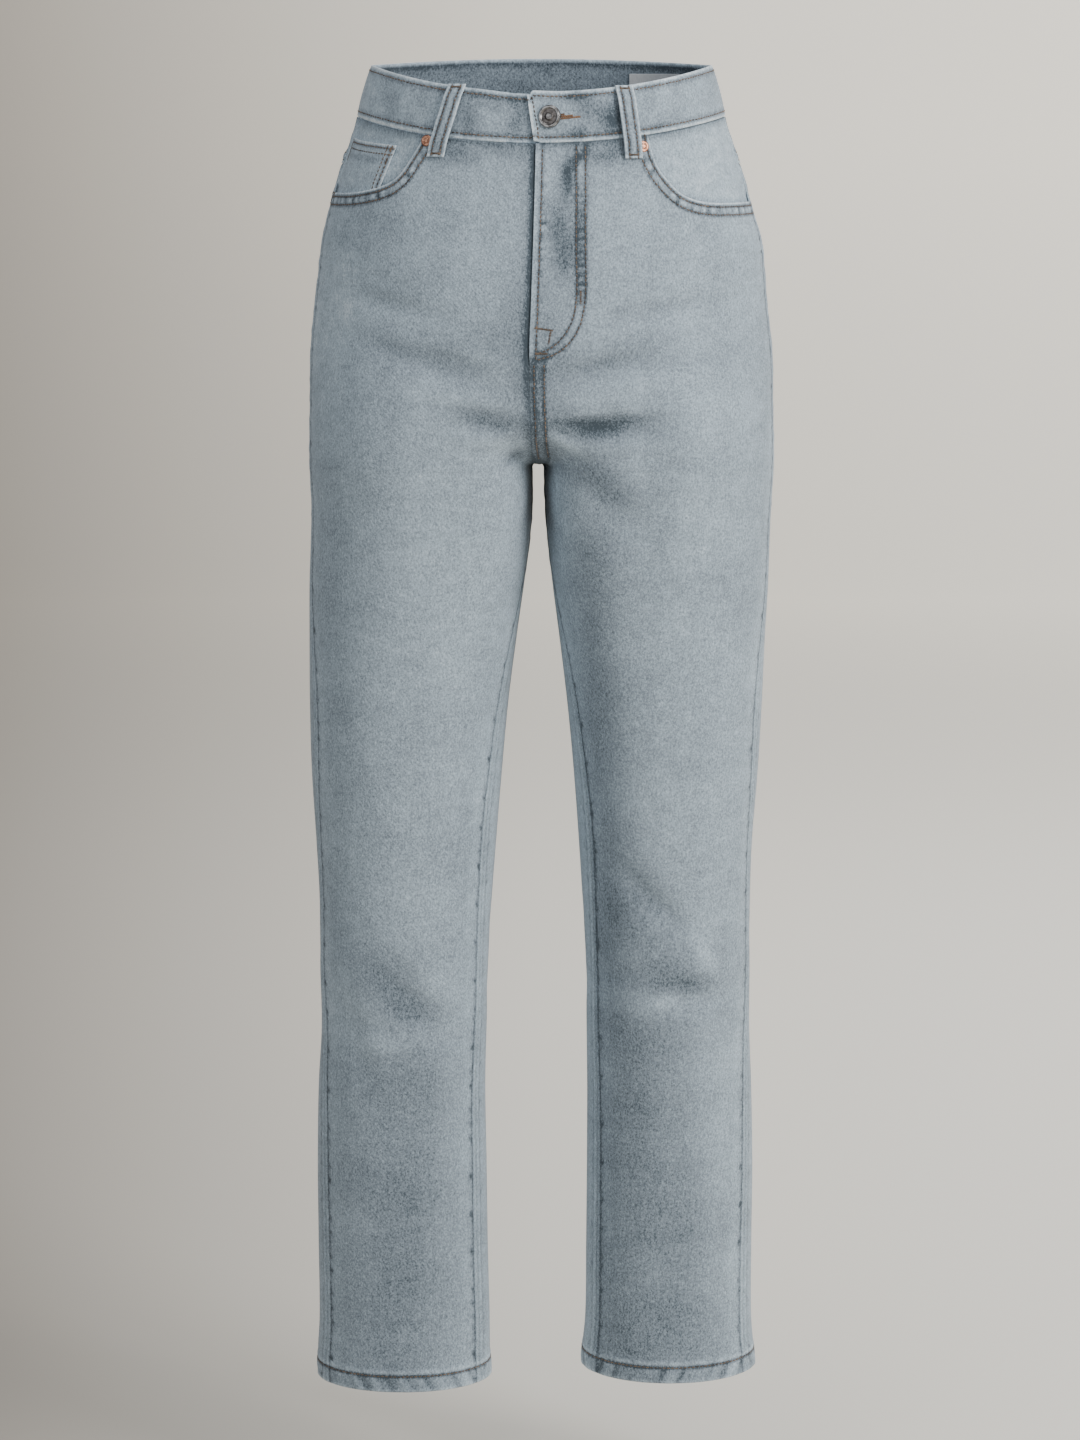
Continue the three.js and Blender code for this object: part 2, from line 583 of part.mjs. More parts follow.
// Yokes
for (const side of [-1, 1]) {
  const frames = [0, 0.33, 0.67, 1].map((t) => backColumns.map((share) => {
    const across = acrossAt(side, 'back', share);
    const top = edgeAt(BAND_LOW, 'back', across) - BAND_GAP;
    return frameAt(side, 'back', share, mix(top, yokeEdgeAt(across) + GAP / 2, t));
  }));
  addMesh(`yoke_${nameOf(side)}`, wallOf(frames, () => 0, () => -CLOTH), denim);
}

// Waistband: one strip from its right end, round the back, to its left end over the right one
const BAND_UNDER_END = 0.2;
const BAND_OVER_END = 0.05;
const BAND_SINK_FROM = -0.15;
const BAND_SINK_TO = -0.075;
const BAND_STATIONS = 64;
const BAND_CORNER = 2.5;
{
  const stations = [BAND_UNDER_END, 0.1, 0.02, -0.04, BAND_SINK_TO, -0.11, BAND_SINK_FROM];
  const last = -2 * Math.PI - BAND_OVER_END;
  const from = BAND_SINK_FROM;
  for (let step = 1; step < BAND_STATIONS; step += 1) {
    stations.push(mix(from, last + 0.03, step / BAND_STATIONS));
  }
  stations.push(last + 0.03, last);
  const across = (angle) => Math.abs(Math.sin(angle)) ** (2 / BODY_POWER);
  const frames = [0, 0.35, 0.7, 1].map((t) => stations.map((angle, index) => {
    const part = Math.cos(angle) > 0 ? 'front' : 'back';
    const low = edgeAt(BAND_LOW, part, across(angle));
    const corner = index === stations.length - 1 ? BAND_CORNER : 0;
    const top = edgeAt(BAND_TOP, part, across(angle)) - corner;
    return ringFrame(angle, mix(low, top, t));
  }));
  const sink = (column) => {
    const share = ease((stations[column] - BAND_SINK_FROM) / (BAND_SINK_TO - BAND_SINK_FROM));
    return -(BAND_CLOTH + GAP) * share;
  };
  addMesh('waistband', wallOf(
    frames,
    (row, column) => BAND_PROUD + sink(column),
    (row, column) => BAND_PROUD - BAND_CLOTH + sink(column),
  ), denim);
}

// Pocket facings under the scooped openings, and the coin pocket on the right one
const COIN_CLOTH = 1.0;
const FACING_ROWS = span(0, 4);
const FACING_COLUMNS = span(0, 7);
const facingDepth = { right: CLOTH + GAP + COIN_CLOTH + GAP, left: CLOTH + GAP };
for (const name of ['right', 'left']) {
  const depth = facingDepth[name];
  addMesh(`pocket_facing_${name}`, layerOf(
    panels.front[name], FACING_ROWS, FACING_COLUMNS, -depth, -depth - CLOTH,
  ), denimShade);
}

const coinOutline = [
  { x: -146, z: -25.5 }, { x: -106.6, z: -31.3 }, { x: -118.5, z: -60 },
  { x: -122.5, z: -74 }, { x: -158, z: -74 }, { x: -156, z: -50 },
];
{
  const depth = CLOTH + GAP;
  const layer = layerOf(
    panels.front.right, FACING_ROWS, FACING_COLUMNS, -depth, -depth - COIN_CLOTH,
  );
  const solid = solidOf(layer).intersect(solidOf(prismOf(coinOutline, 'front')));
  addMesh('coin_pocket', geometryOf(solid), denimShade);
}

// Closed zip and the shield behind it, both from the frames either side of the fly
const ZIP_CLOTH = 1.0;
const ZIP_ROWS = span(0, 9);
const SHIELD_ROWS = span(0, 10);
const flyStrip = (rows, columns, outer, inner) => wallOf(rows.map((row) => [
  ...columns.map((column) => panels.front.right[row][column]),
  ...columns.toReversed().map((column) => panels.front.left[row][column]),
]), () => -outer, () => -inner);
const zipDepth = CLOTH + GAP;
const shieldDepth = zipDepth + ZIP_CLOTH + GAP;
addMesh('fly_zip', flyStrip(ZIP_ROWS, [10, 11, 12], zipDepth, zipDepth + ZIP_CLOTH), denimDark);
addMesh('fly_shield', flyStrip(SHIELD_ROWS, [9, 10, 11, 12], shieldDepth, shieldDepth + CLOTH),
  denimShade);

// Back patch pockets, each laid on its panel
const BACK_POCKET = {
  topIn: { x: 26, z: -110 },
  topOut: { x: 131, z: -100 },
  sideIn: { x: 35, z: -226 },
  sideOut: { x: 124, z: -219 },
  point: { x: 82, z: -246 },
};
const BACK_POCKET_CLOTH = 1.4;
const POCKET_ROWS = span(1, 14);
const POCKET_COLUMNS = span(0, 12);
for (const side of [-1, 1]) {
  const { topIn, topOut, sideIn, sideOut, point } = BACK_POCKET;
  const corners = [topIn, topOut, sideOut, point, sideIn]
    .map(({ x, z }) => ({ x: side * x + CROTCH_X, z }));
  const layer = layerOf(
    panels.back[nameOf(side)], POCKET_ROWS, POCKET_COLUMNS, GAP + BACK_POCKET_CLOTH, GAP,
  );
  const solid = solidOf(layer).intersect(solidOf(prismOf(corners, 'back')));
  addMesh(`back_pocket_${nameOf(side)}`, geometryOf(solid), denim);
}

// Belt loops, standing off the band between their sewn ends
const LOOP_HALF = 6.8;
const LOOP_CLOTH = 1.8;
const LOOP_STAND = 2.4;
const loops = [
  { name: 'front_right', part: 'front', topX: -60.5, topZ: 12.5, lowX: -76.7, lowZ: -40 },
  { name: 'front_left', part: 'front', topX: 59.3, topZ: 11.5, lowX: 66.7, lowZ: -41 },
  { name: 'back_right', part: 'back', topX: -76, topZ: 28.5, lowX: -78, lowZ: -24 },
  { name: 'back_centre', part: 'back', topX: -2.6, topZ: 30.5, lowX: -2.6, lowZ: -24 },
  { name: 'back_left', part: 'back', topX: 70, topZ: 28.5, lowX: 72, lowZ: -24 },
];
for (const loop of loops) {
  const steps = [0, 0.1, 0.2, 0.32, 0.5, 0.68, 0.82, 0.92, 1];
  const frames = steps.map((t) => [-1, 0, 1].map((k) => {
    const z = mix(loop.topZ, loop.lowZ, t);
    const x = mix(loop.topX, loop.lowX, t);
    const middle = ringFrame(angleAt(loop.part, x, z), z);
    const along = new THREE.Vector3(-middle.normal.y, middle.normal.x, 0).normalize();
    return {
      point: middle.point.clone().addScaledVector(along, LOOP_HALF * k),
      normal: middle.normal.clone(),
    };
  }));
  const standAt = (row) => BAND_PROUD + GAP + 0.25
    + LOOP_STAND * ease(Math.min(steps[row], 1 - steps[row]) / 0.22);
  addMesh(`belt_loop_${loop.name}`,
    wallOf(frames, (row) => standAt(row) + LOOP_CLOTH, standAt), denim);
}

// Metal pieces, turned about the direction out of the cloth
const turnedOf = (profilePoints, frame, stand, segments) => {
  const points = profilePoints.map(({ radius, height }) => new THREE.Vector2(radius, height));
  const geometry = new THREE.LatheGeometry(points, segments);
  const turn = new THREE.Quaternion().setFromUnitVectors(
    new THREE.Vector3(0, 1, 0), frame.normal,
  );
  geometry.applyQuaternion(turn);
  const place = frame.point.clone().addScaledVector(frame.normal, stand);
  geometry.translate(place.x, place.y, place.z);
  return geometry;
};

const buttonProfile = [
  { radius: 0, height: 0 }, { radius: 3.6, height: 0 }, { radius: 3.6, height: 1.3 },
  { radius: 7.6, height: 1.5 }, { radius: 8.5, height: 2.2 }, { radius: 8.4, height: 3.2 },
  { radius: 7.6, height: 3.8 }, { radius: 6.2, height: 3.6 }, { radius: 5.4, height: 2.9 },
  { radius: 3.2, height: 2.9 }, { radius: 2.4, height: 3.5 }, { radius: 0, height: 3.7 },
];
const rivetProfile = [
  { radius: 0, height: 0 }, { radius: 4.3, height: 0 }, { radius: 4.2, height: 0.6 },
  { radius: 3.1, height: 1.2 }, { radius: 1.7, height: 1.0 }, { radius: 1.2, height: 1.4 },
  { radius: 0, height: 1.5 },
];
const BUTTON_PLACE = { x: 6.4, z: -10.6 };
const RIVET_PLACES = [
  { name: 'rivet_right', x: -83.6, z: -28.1 },
  { name: 'rivet_left', x: 74.0, z: -32.2 },
];
addMesh('waist_button', turnedOf(
  buttonProfile,
  ringFrame(angleAt('front', BUTTON_PLACE.x, BUTTON_PLACE.z), BUTTON_PLACE.z),
  BAND_PROUD + GAP, 24,
), steel);
RIVET_PLACES.forEach(({ name, x, z }) => {
  addMesh(name, turnedOf(rivetProfile, ringFrame(angleAt('front', x, z), z), GAP, 16), copper);
});

// Bare label inside the back of the band
const LABEL = { fromX: 68, toX: 106, topZ: 20, lowZ: -4, cloth: 1.0, gap: 0.5 };
{
  const frames = [0, 0.5, 1].map((t) => [0, 0.25, 0.5, 0.75, 1].map((s) => {
    const z = mix(LABEL.topZ, LABEL.lowZ, t);
    return ringFrame(angleAt('back', mix(LABEL.fromX, LABEL.toX, s), z), z);
  }));
  const outer = BAND_PROUD - BAND_CLOTH - LABEL.gap;
  addMesh('waist_label', wallOf(frames, () => outer, () => outer - LABEL.cloth), tape);
}

export default jeans;
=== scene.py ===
# %% [markdown]
# # Straight jeans in washed denim
# The jeans are shown filled out, as if somebody wore them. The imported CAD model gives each
# piece's place and size. This lesson covers those plain pieces with cloth: fine sheets with
# folds, raised seams, sewing and a faded denim.

# %% Load the frame
import json
import math

import bmesh
import bpy
import numpy as np
from mathutils import Euler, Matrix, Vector
from mathutils.bvhtree import BVHTree

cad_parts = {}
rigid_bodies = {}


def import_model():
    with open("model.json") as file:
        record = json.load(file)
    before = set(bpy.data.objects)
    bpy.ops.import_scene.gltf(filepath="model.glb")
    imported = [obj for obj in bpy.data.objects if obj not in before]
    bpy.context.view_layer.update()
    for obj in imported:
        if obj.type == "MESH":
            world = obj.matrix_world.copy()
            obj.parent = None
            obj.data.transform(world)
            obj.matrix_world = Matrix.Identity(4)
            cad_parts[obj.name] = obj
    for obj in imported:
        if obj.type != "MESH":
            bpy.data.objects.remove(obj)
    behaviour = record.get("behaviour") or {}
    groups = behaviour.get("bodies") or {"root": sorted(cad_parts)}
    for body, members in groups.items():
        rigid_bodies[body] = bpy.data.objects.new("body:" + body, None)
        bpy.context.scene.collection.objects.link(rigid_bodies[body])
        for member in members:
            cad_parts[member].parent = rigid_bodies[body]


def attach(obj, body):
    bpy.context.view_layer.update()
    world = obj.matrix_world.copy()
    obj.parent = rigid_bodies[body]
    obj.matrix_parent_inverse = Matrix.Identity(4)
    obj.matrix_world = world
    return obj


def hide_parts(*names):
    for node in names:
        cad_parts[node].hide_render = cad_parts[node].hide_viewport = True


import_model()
bpy.context.view_layer.update()


def add_object(name, data):
    made = bpy.data.objects.new(name, data)
    bpy.context.scene.collection.objects.link(made)
    return made


# %% [markdown]
# ## Camera
# The photograph was taken from the front, a little above the waistband, with a long lens.
# The camera stands 3.7 m away and looks 7.7 degrees down, so that the oval of the waist and
# the curve of the hems open as far as they do there.

# %% Camera
TARGET = Vector((-0.0011, 0.0, -0.465))
DISTANCE = 3.7
PITCH = math.radians(7.7)
camera_data = bpy.data.cameras.new("camera")
camera_data.lens = 122.2
camera_data.clip_end = 50
camera = add_object("camera", camera_data)
camera.location = TARGET + Vector((0, -math.cos(PITCH), math.sin(PITCH))) * DISTANCE
camera.rotation_euler = (math.pi / 2 - PITCH, 0, 0)
bpy.context.scene.camera = camera
print("camera at", [round(v, 3) for v in camera.location])

# %% [markdown]
# ## The body surface
# Every piece of cloth lies on one surface. It is given by three tables: the outline seen from
# the front, the outline seen from the side, and where the seams run. They hold the same
# numbers as the CAD, in millimetres, so that the cloth lies exactly on its solids.

# %% Tables of the surface
# height, right leg outer and inner edge, left leg outer and inner edge
OUTLINE = np.array([
    (-980, 171.9, 38.8, 165.0, 31.0), (-957, 172.3, 39.6, 163.6, 31.4),
    (-930, 170.9, 39.8, 161.6, 33.6), (-870, 171.2, 41.2, 161.3, 34.3),
    (-807, 171.5, 42.0, 161.7, 34.8), (-744, 170.3, 42.9, 160.4, 34.9),
    (-700, 167.8, 41.8, 158.7, 34.4), (-650, 168.8, 40.5, 158.8, 33.8),
    (-600, 168.8, 37.6, 158.7, 31.0), (-558, 170.9, 34.4, 159.9, 28.4),
    (-500, 174.2, 29.6, 164.2, 24.1), (-450, 175.2, 24.9, 166.8, 19.3),
    (-400, 175.2, 18.5, 168.8, 13.3), (-360, 174.9, 12.9, 171.0, 8.2),
    (-330, 173.8, 9.0, 171.8, 4.9), (-300, 173.2, 6.7, 173.0, 2.6),
    (-269, 174.4, 7.0, 174.6, 1.9), (-223, 173.8, 7.0, 173.8, 1.9),
    (-187, 173.2, 7.0, 173.2, 1.9), (-151, 170.0, 7.0, 169.2, 1.9),
    (-127, 167.0, 7.0, 167.2, 1.9), (-103, 164.0, 7.0, 164.6, 1.9),
    (-80, 158.6, 7.0, 157.6, 1.9), (-56, 151.9, 7.0, 151.1, 1.9),
    (-30, 142.6, 7.0, 142.2, 1.9), (-12, 137.0, 7.0, 136.6, 1.9),
    (0, 134.0, 7.0, 133.8, 1.9), (15, 129.6, 7.0, 129.8, 1.9),
    (34, 124.8, 7.0, 125.2, 1.9)])
# height, front, back
PROFILE = np.array([
    (-980, -51, 64), (-930, -52, 66), (-880, -54, 69), (-820, -57, 73),
    (-760, -60, 76), (-700, -64, 77), (-640, -68, 78), (-580, -71, 80),
    (-520, -76, 84), (-460, -82, 89), (-400, -88, 96), (-350, -94, 103),
    (-300, -100, 112), (-260, -105, 121), (-220, -110, 129), (-180, -112, 132),
    (-140, -112, 129), (-100, -109, 122), (-60, -104, 112), (-30, -99, 104),
    (0, -95, 97), (34, -91, 92)])
# height, outseam, inseam, squareness of the inner thigh, front centre seam
SEAMS = np.array([
    (-980, 0.51, 0.52, 2.2, -2.6), (-820, 0.50, 0.52, 2.2, -2.6),
    (-745, 0.46, 0.51, 2.2, -2.6), (-665, 0.34, 0.48, 2.2, -2.6),
    (-600, 0.34, 0.52, 2.2, -2.6), (-545, 0.37, 0.54, 2.2, -2.6),
    (-487, 0.43, 0.49, 2.2, -2.6), (-440, 0.42, 0.45, 2.3, -2.6),
    (-400, 0.35, 0.40, 2.5, -2.6), (-350, 0.27, 0.27, 2.9, -2.6),
    (-300, 0.25, 0.12, 3.4, -2.6), (-269, 0.23, 0.08, 3.5, -2.6),
    (-258, 0.23, 0.08, 3.5, -6.2), (-235, 0.22, 0.08, 3.5, -8.2),
    (-178, 0.22, 0.08, 3.5, -9.2), (-148, 0.21, 0.08, 3.5, -8.0),
    (-37, 0.18, 0.08, 3.5, -4.6), (34, 0.15, 0.08, 3.5, -4.0)])
SCOOPS = {
    -1: np.array([(-84.5, -22), (-89, -31), (-95, -40.5), (-102, -51), (-109, -57.5),
                  (-118, -61.8), (-128, -64.6), (-141, -66.8), (-158, -67.6)], float),
    1: np.array([(77.5, -22), (79, -31), (81.5, -40), (86, -49), (92.5, -57.5),
                 (100, -65), (110, -70.5), (122, -73.2), (136, -74), (160, -74)], float)}
BAND_LOW = {"front": -29.5, "side": -11.5, "back": -8.0}
BAND_TOP = {"front": 7.5, "side": 26.5, "back": 31.0}
YOKE_LOW = {"centre": -80.0, "side": -46.0}
HEM_Z = {-1: -974.0, 1: -967.0}
CLOTH, GAP, BAND_GAP = 1.3, 0.3, 0.42
BAND_CLOTH, BAND_PROUD = 2.4, 0.6
CROTCH_Z, CROTCH_X, ARCH_RADIUS = -269.0, -2.6, 4.3
ARCH_POWER, ARCH_SPREAD, OVERTURN = 9, 0.42, 0.03
BLEND_Z, BODY_POWER, WIDEST_Y = -145.0, 2.2, 4.0
# height where the centre seam turns under, its squareness, share of steady columns
RISE = {"front": (-225.0, 2.4, 0.7), "back": (-185.0, 2.2, 0.65)}
SEAM_TRIM = 0.19


def mix(a, b, t):
    return a + (b - a) * t


def ease(v):
    v = np.clip(v, 0, 1)
    return v * v * (3 - 2 * v)


def bell(distance, width):
    return np.exp(-((distance / width) ** 2))


def side_name(side):
    return "right" if side < 0 else "left"


def running(line):
    """Length along a line of points, from its first point."""
    return np.concatenate([[0], np.cumsum(np.linalg.norm(np.diff(line, axis=0), axis=1))])


def edge_runs(points):
    """Distance of each point from its row's first and last point."""
    spread = np.linalg.norm(np.diff(points, axis=1), axis=2)
    run = np.concatenate([np.zeros((len(points), 1)), np.cumsum(spread, axis=1)], axis=1)
    return run, run[:, -1:] - run


def table(rows, z):
    """The rows' columns at z, on smooth cubics that end without curvature."""
    z = np.clip(np.asarray(z, float), rows[0, 0], rows[-1, 0])
    t = rows[:, 0]
    k = np.clip(np.searchsorted(t, z, side="right"), 1, len(t) - 1)
    first, last = k == 1, k == len(t) - 1
    t0, t1 = t[k - 1], t[k]
    before = np.where(first, 2 * t0 - t1, t[np.maximum(k - 2, 0)])
    after = np.where(last, 2 * t1 - t0, t[np.minimum(k + 1, len(t) - 1)])
    row_before = np.where(first, k, k - 2)
    row_after = np.where(last, k - 1, np.minimum(k + 1, len(t) - 1))
    half = (t1 - t0) / 2
    wp, wn = half / (t0 - before), half / (after - t1)
    p = (z - t0) / (t1 - t0)
    p2, p3 = p * p, p * p * p
    weights = (-wp * p3 + 2 * wp * p2 - wp * p,
               (1 + wp) * p3 + (-1.5 - 2 * wp) * p2 + (-0.5 + wp) * p + 1,
               (-1 - wn) * p3 + (1.5 + wn) * p2 + 0.5 * p,
               wn * p3 - wn * p2)
    values = rows[:, 1:]
    places = (row_before, k - 1, k, row_after)
    return sum(w[..., None] * values[i] for w, i in zip(weights, places))


def seam_x(part, z):
    return table(SEAMS, z)[..., 3] if part == "front" else np.full(np.shape(z), CROTCH_X)


def band_edge(edge, part, across):
    return mix(edge[part], edge["side"], across * across)


print("surface tables:", len(OUTLINE), len(PROFILE), len(SEAMS), "rows")

# %% [markdown]
# ### Sections
# Up at the hips, one panel's section is a quarter of an oval ring. Down at the crotch it has
# become half of a leg's D-shaped ring. The section is cut where the centre seam turns under,
# and below the crotch an arch closes the step between the two legs.

# %% Sections and a lookup table
def section(side, part, z, half_steps=64):
    """x, y and running length of a panel's section at z, from the side seam to the centre."""
    right_out, right_in, left_out, left_in = table(OUTLINE, z)
    front, back = table(PROFILE, z)
    outseam, inseam, inner_power, _ = table(SEAMS, z)
    out, inner = (right_out, right_in) if side < 0 else (left_out, left_in)
    centre = side * float(seam_x(part, z))
    middle, half = (out + inner) / 2, (out - inner) / 2
    leg_blend = ease((BLEND_Z - z) / (BLEND_Z - CROTCH_Z))
    away = 1 if part == "front" else -1
    reach = {1: WIDEST_Y - front, -1: back - WIDEST_Y}
    if z < CROTCH_Z:
        end_y = WIDEST_Y - reach[1] * inseam
    else:
        crotch_y = WIDEST_Y - (WIDEST_Y - table(PROFILE, CROTCH_Z)[0]) * inseam
        start_z, power, _ = RISE[part]
        height = np.clip((z - CROTCH_Z) / (start_z - CROTCH_Z), 0, 1)
        share = (1 - (1 - height) ** power) ** (1 / power)
        end_y = mix(crotch_y, front if part == "front" else back, share)
    end_front = end_y < WIDEST_Y
    end_share = np.clip(abs(end_y - WIDEST_Y) / reach[1 if end_front else -1], 0, 1)
    past = np.arcsin(end_share ** (inner_power / 2)) * (1 if end_front else -1)
    start = np.arcsin(outseam ** (BODY_POWER / 2))
    end = away * max(np.pi / 2 + OVERTURN, np.pi - past * away)
    below = np.clip((CROTCH_Z - z) / ARCH_RADIUS, 0, 1)
    arch = 1 - np.sqrt(1 - (1 - below) ** 2)
    reach_end = abs(np.cos(end)) ** (2 / inner_power)
    to_centre = middle - half * reach_end - centre
    local = ease((0.5 - to_centre / (middle - centre)) / ARCH_SPREAD)
    apex = WIDEST_Y - away * reach[away]
    steps = np.arange(half_steps + 1) / half_steps
    angle = np.concatenate([mix(start, away * np.pi / 2, steps),
                            mix(away * np.pi / 2, end, steps[1:])])
    outer = np.arange(len(angle)) <= half_steps
    sine, cosine = np.sin(angle), np.abs(np.cos(angle))
    depth = np.where(sine > 0, reach[1], reach[-1])
    power = np.where(outer, 2 / BODY_POWER, 2 / inner_power)
    leg_y = WIDEST_Y - depth * np.sign(sine) * np.abs(sine) ** power
    near = np.clip((leg_y - apex) / ((end_y - apex) or 1), 0, 1) ** ARCH_POWER
    spread = cosine ** (2 / inner_power) / reach_end
    x = np.where(outer, middle + half * cosine ** power,
                 middle - half * cosine ** (2 / inner_power)
                 - to_centre * arch * mix(spread, near, local))
    level = np.clip((x - centre) / (out - centre), 0, 1)
    ring = (1 - level ** BODY_POWER) ** (1 / BODY_POWER)
    y = mix(WIDEST_Y - np.sign(sine) * depth * ring, leg_y, leg_blend)
    run = np.concatenate([[0], np.cumsum(np.hypot(np.diff(x), np.diff(y)))])
    return side * x, y, run


LEVELS = np.unique(np.concatenate([
    np.arange(-980, -300, 3.0), np.arange(-300, -275, 1.5),
    CROTCH_Z - ARCH_RADIUS * np.array([1.3, 1, 0.8, 0.6, 0.42, 0.28, 0.16, 0.08, 0.03, 0.002]),
    np.arange(-269, -262, 0.5), np.arange(-262, -225, 1.25), np.arange(-225, -145, 2.5),
    np.arange(-145, 37, 2.5)]))
SHARES = np.linspace(0, 1, 361)


def lookup(side, part):
    """x, y and length at every level and share, columns kept in place past the crotch."""
    turn = RISE[part][2]
    above = section(side, part, BLEND_Z)[2][-1]
    below = section(side, part, CROTCH_Z)[2][-1]
    xs, ys, lengths = [], [], []
    for z in LEVELS:
        x, y, run = section(side, part, z)
        length = run[-1]
        steady = length
        if CROTCH_Z < z < BLEND_Z:
            steady = mix(above, below, ease((BLEND_Z - z) / (BLEND_Z - CROTCH_Z)))
        along = np.where(SHARES < turn, SHARES * steady,
                         mix(turn * steady, length, (SHARES - turn) / (1 - turn)))
        along = np.clip(along, SEAM_TRIM, length - SEAM_TRIM)
        xs.append(np.interp(along, run, x))
        ys.append(np.interp(along, run, y))
        lengths.append(length)
    return np.array(xs), np.array(ys), np.array(lengths)


LOOKUP = {(s, p): lookup(s, p) for s in (-1, 1) for p in ("front", "back")}


def place(side, part, share, z):
    """Points of the cloth's outer face, in millimetres, for arrays of shares and heights."""
    xs, ys, _ = LOOKUP[side, part]
    share, z = np.broadcast_arrays(np.asarray(share, float), np.asarray(z, float))
    k = np.clip(np.searchsorted(LEVELS, z, side="right") - 1, 0, len(LEVELS) - 2)
    t = np.clip((z - LEVELS[k]) / (LEVELS[k + 1] - LEVELS[k]), 0, 1)
    s = np.clip(share, 0, 1) * (len(SHARES) - 1)
    j = np.clip(s.astype(int), 0, len(SHARES) - 2)
    f = s - j
    out = []
    for values in (xs, ys):
        low = mix(values[k, j], values[k, j + 1], f)
        high = mix(values[k + 1, j], values[k + 1, j + 1], f)
        out.append(mix(low, high, t))
    return np.stack([out[0], out[1], z], -1)


def length_at(side, part, z):
    return np.interp(z, LEVELS, LOOKUP[side, part][2])


def share_at(side, part, x, z):
    """The share whose point has that x, on the front or back face of a panel."""
    found = np.empty(np.shape(z))
    flat_x, flat_z = np.broadcast_arrays(np.asarray(x, float), np.asarray(z, float))
    for index in np.ndindex(flat_z.shape):
        row = place(side, part, SHARES, flat_z[index])[:, 0] * side
        widest = int(np.argmax(row))
        found[index] = np.interp(-side * flat_x[index], -row[widest:], SHARES[widest:])
    return found


print("lookup:", len(LEVELS), "levels,", len(SHARES), "shares;",
      "front section at the crotch", round(length_at(-1, "front", CROTCH_Z), 1), "mm")

# %% [markdown]
# ## Folds
# Worn denim keeps soft creases where the hips, the crotch and the knees bend. Simulating them
# would give other creases than the photograph's, so each one is placed as a soft trough. The
# large ones are the solids' own, and smaller, sharper ones lie along them.

# %% Folds
# x, z, slope, half length, half width, depth
FOLDS = {
    "front": [
        (-105, -149, -0.24, 34, 9, 2.2), (-72, -193, -0.3, 42, 10, 3.0),
        (-38, -234, -0.07, 26, 9, 2.6), (-96, -672, -1.1, 42, 13, 3.4),
        (-142, -700, -2.8, 46, 12, 2.2), (93, -152, 0.15, 38, 9, 1.8),
        (48, -193, 0.2, 38, 10, 2.8), (50, -238, 0.08, 34, 9, 3.4), (50, -298, -0.7, 30, 16, 2.6),
        (80, -592, -0.95, 36, 12, 3.2), (116, -668, 0.05, 26, 10, 2.8)],
    "back": [
        (-84, -262, 0.26, 52, 11, 3.2), (-96, -304, 0.12, 44, 12, 2.6),
        (-104, -628, 0.16, 44, 12, 3.4), (-96, -662, -0.2, 40, 11, 2.6),
        (82, -258, -0.24, 50, 11, 3.0), (92, -298, -0.16, 46, 12, 2.8),
        (98, -618, -0.14, 42, 12, 3.2), (90, -656, 0.22, 42, 11, 2.8)],
}
FINE_FOLDS = {
    "front": [
        (-112, -130, -0.22, 24, 4.5, 0.6), (-92, -166, -0.27, 28, 5, 0.7),
        (-58, -187, -0.33, 26, 4.5, 0.9), (-120, -176, -0.15, 20, 5, 0.5),
        (-36, -226, -0.1, 22, 4, 0.9), (-60, -222, -0.22, 24, 5, 0.6),
        (-19, -258, 0.42, 11, 4, 1.0), (-24, -246, 0.3, 14, 4, 0.7),
        (92, -146, 0.14, 32, 4.5, 0.6), (74, -168, 0.22, 30, 5, 0.5),
        (44, -188, 0.2, 34, 4.5, 0.8), (112, -186, 0.1, 22, 5, 0.5), (34, -231, 0.1, 24, 4, 1.0),
        (66, -229, 0.02, 22, 4.5, 0.8), (16, -254, -0.55, 12, 4, 1.0),
        (21, -243, -0.35, 13, 3.5, 0.8), (43, -284, -0.62, 24, 7, 0.8),
        (96, -262, -0.12, 26, 6, 0.5), (-104, -642, -0.95, 24, 5.5, 0.9),
        (-88, -668, -0.55, 20, 5, 0.9), (-122, -690, -0.35, 20, 6, 0.7),
        (-70, -700, 0.35, 22, 6, 0.7), (66, -572, -1.05, 24, 5.5, 0.9),
        (92, -598, -0.7, 20, 5, 1.0), (128, -630, -1.6, 24, 6, 0.8),
        (112, -655, 0.02, 20, 5, 0.9), (64, -648, 0.28, 22, 6, 0.7)],
    "back": [
        (-70, -254, 0.3, 34, 5, 0.9), (-110, -282, 0.1, 34, 5, 0.8),
        (72, -250, -0.28, 34, 5, 0.9), (104, -278, -0.12, 34, 5, 0.8),
        (-96, -610, 0.22, 30, 5, 1.0), (-106, -645, -0.05, 34, 5, 1.0),
        (90, -600, -0.2, 30, 5, 1.0), (100, -638, 0.06, 34, 5, 1.0),
        (-90, -690, -0.3, 28, 6, 0.7), (88, -684, 0.26, 28, 6, 0.7)],
}
SEAM_FADE = 0.09
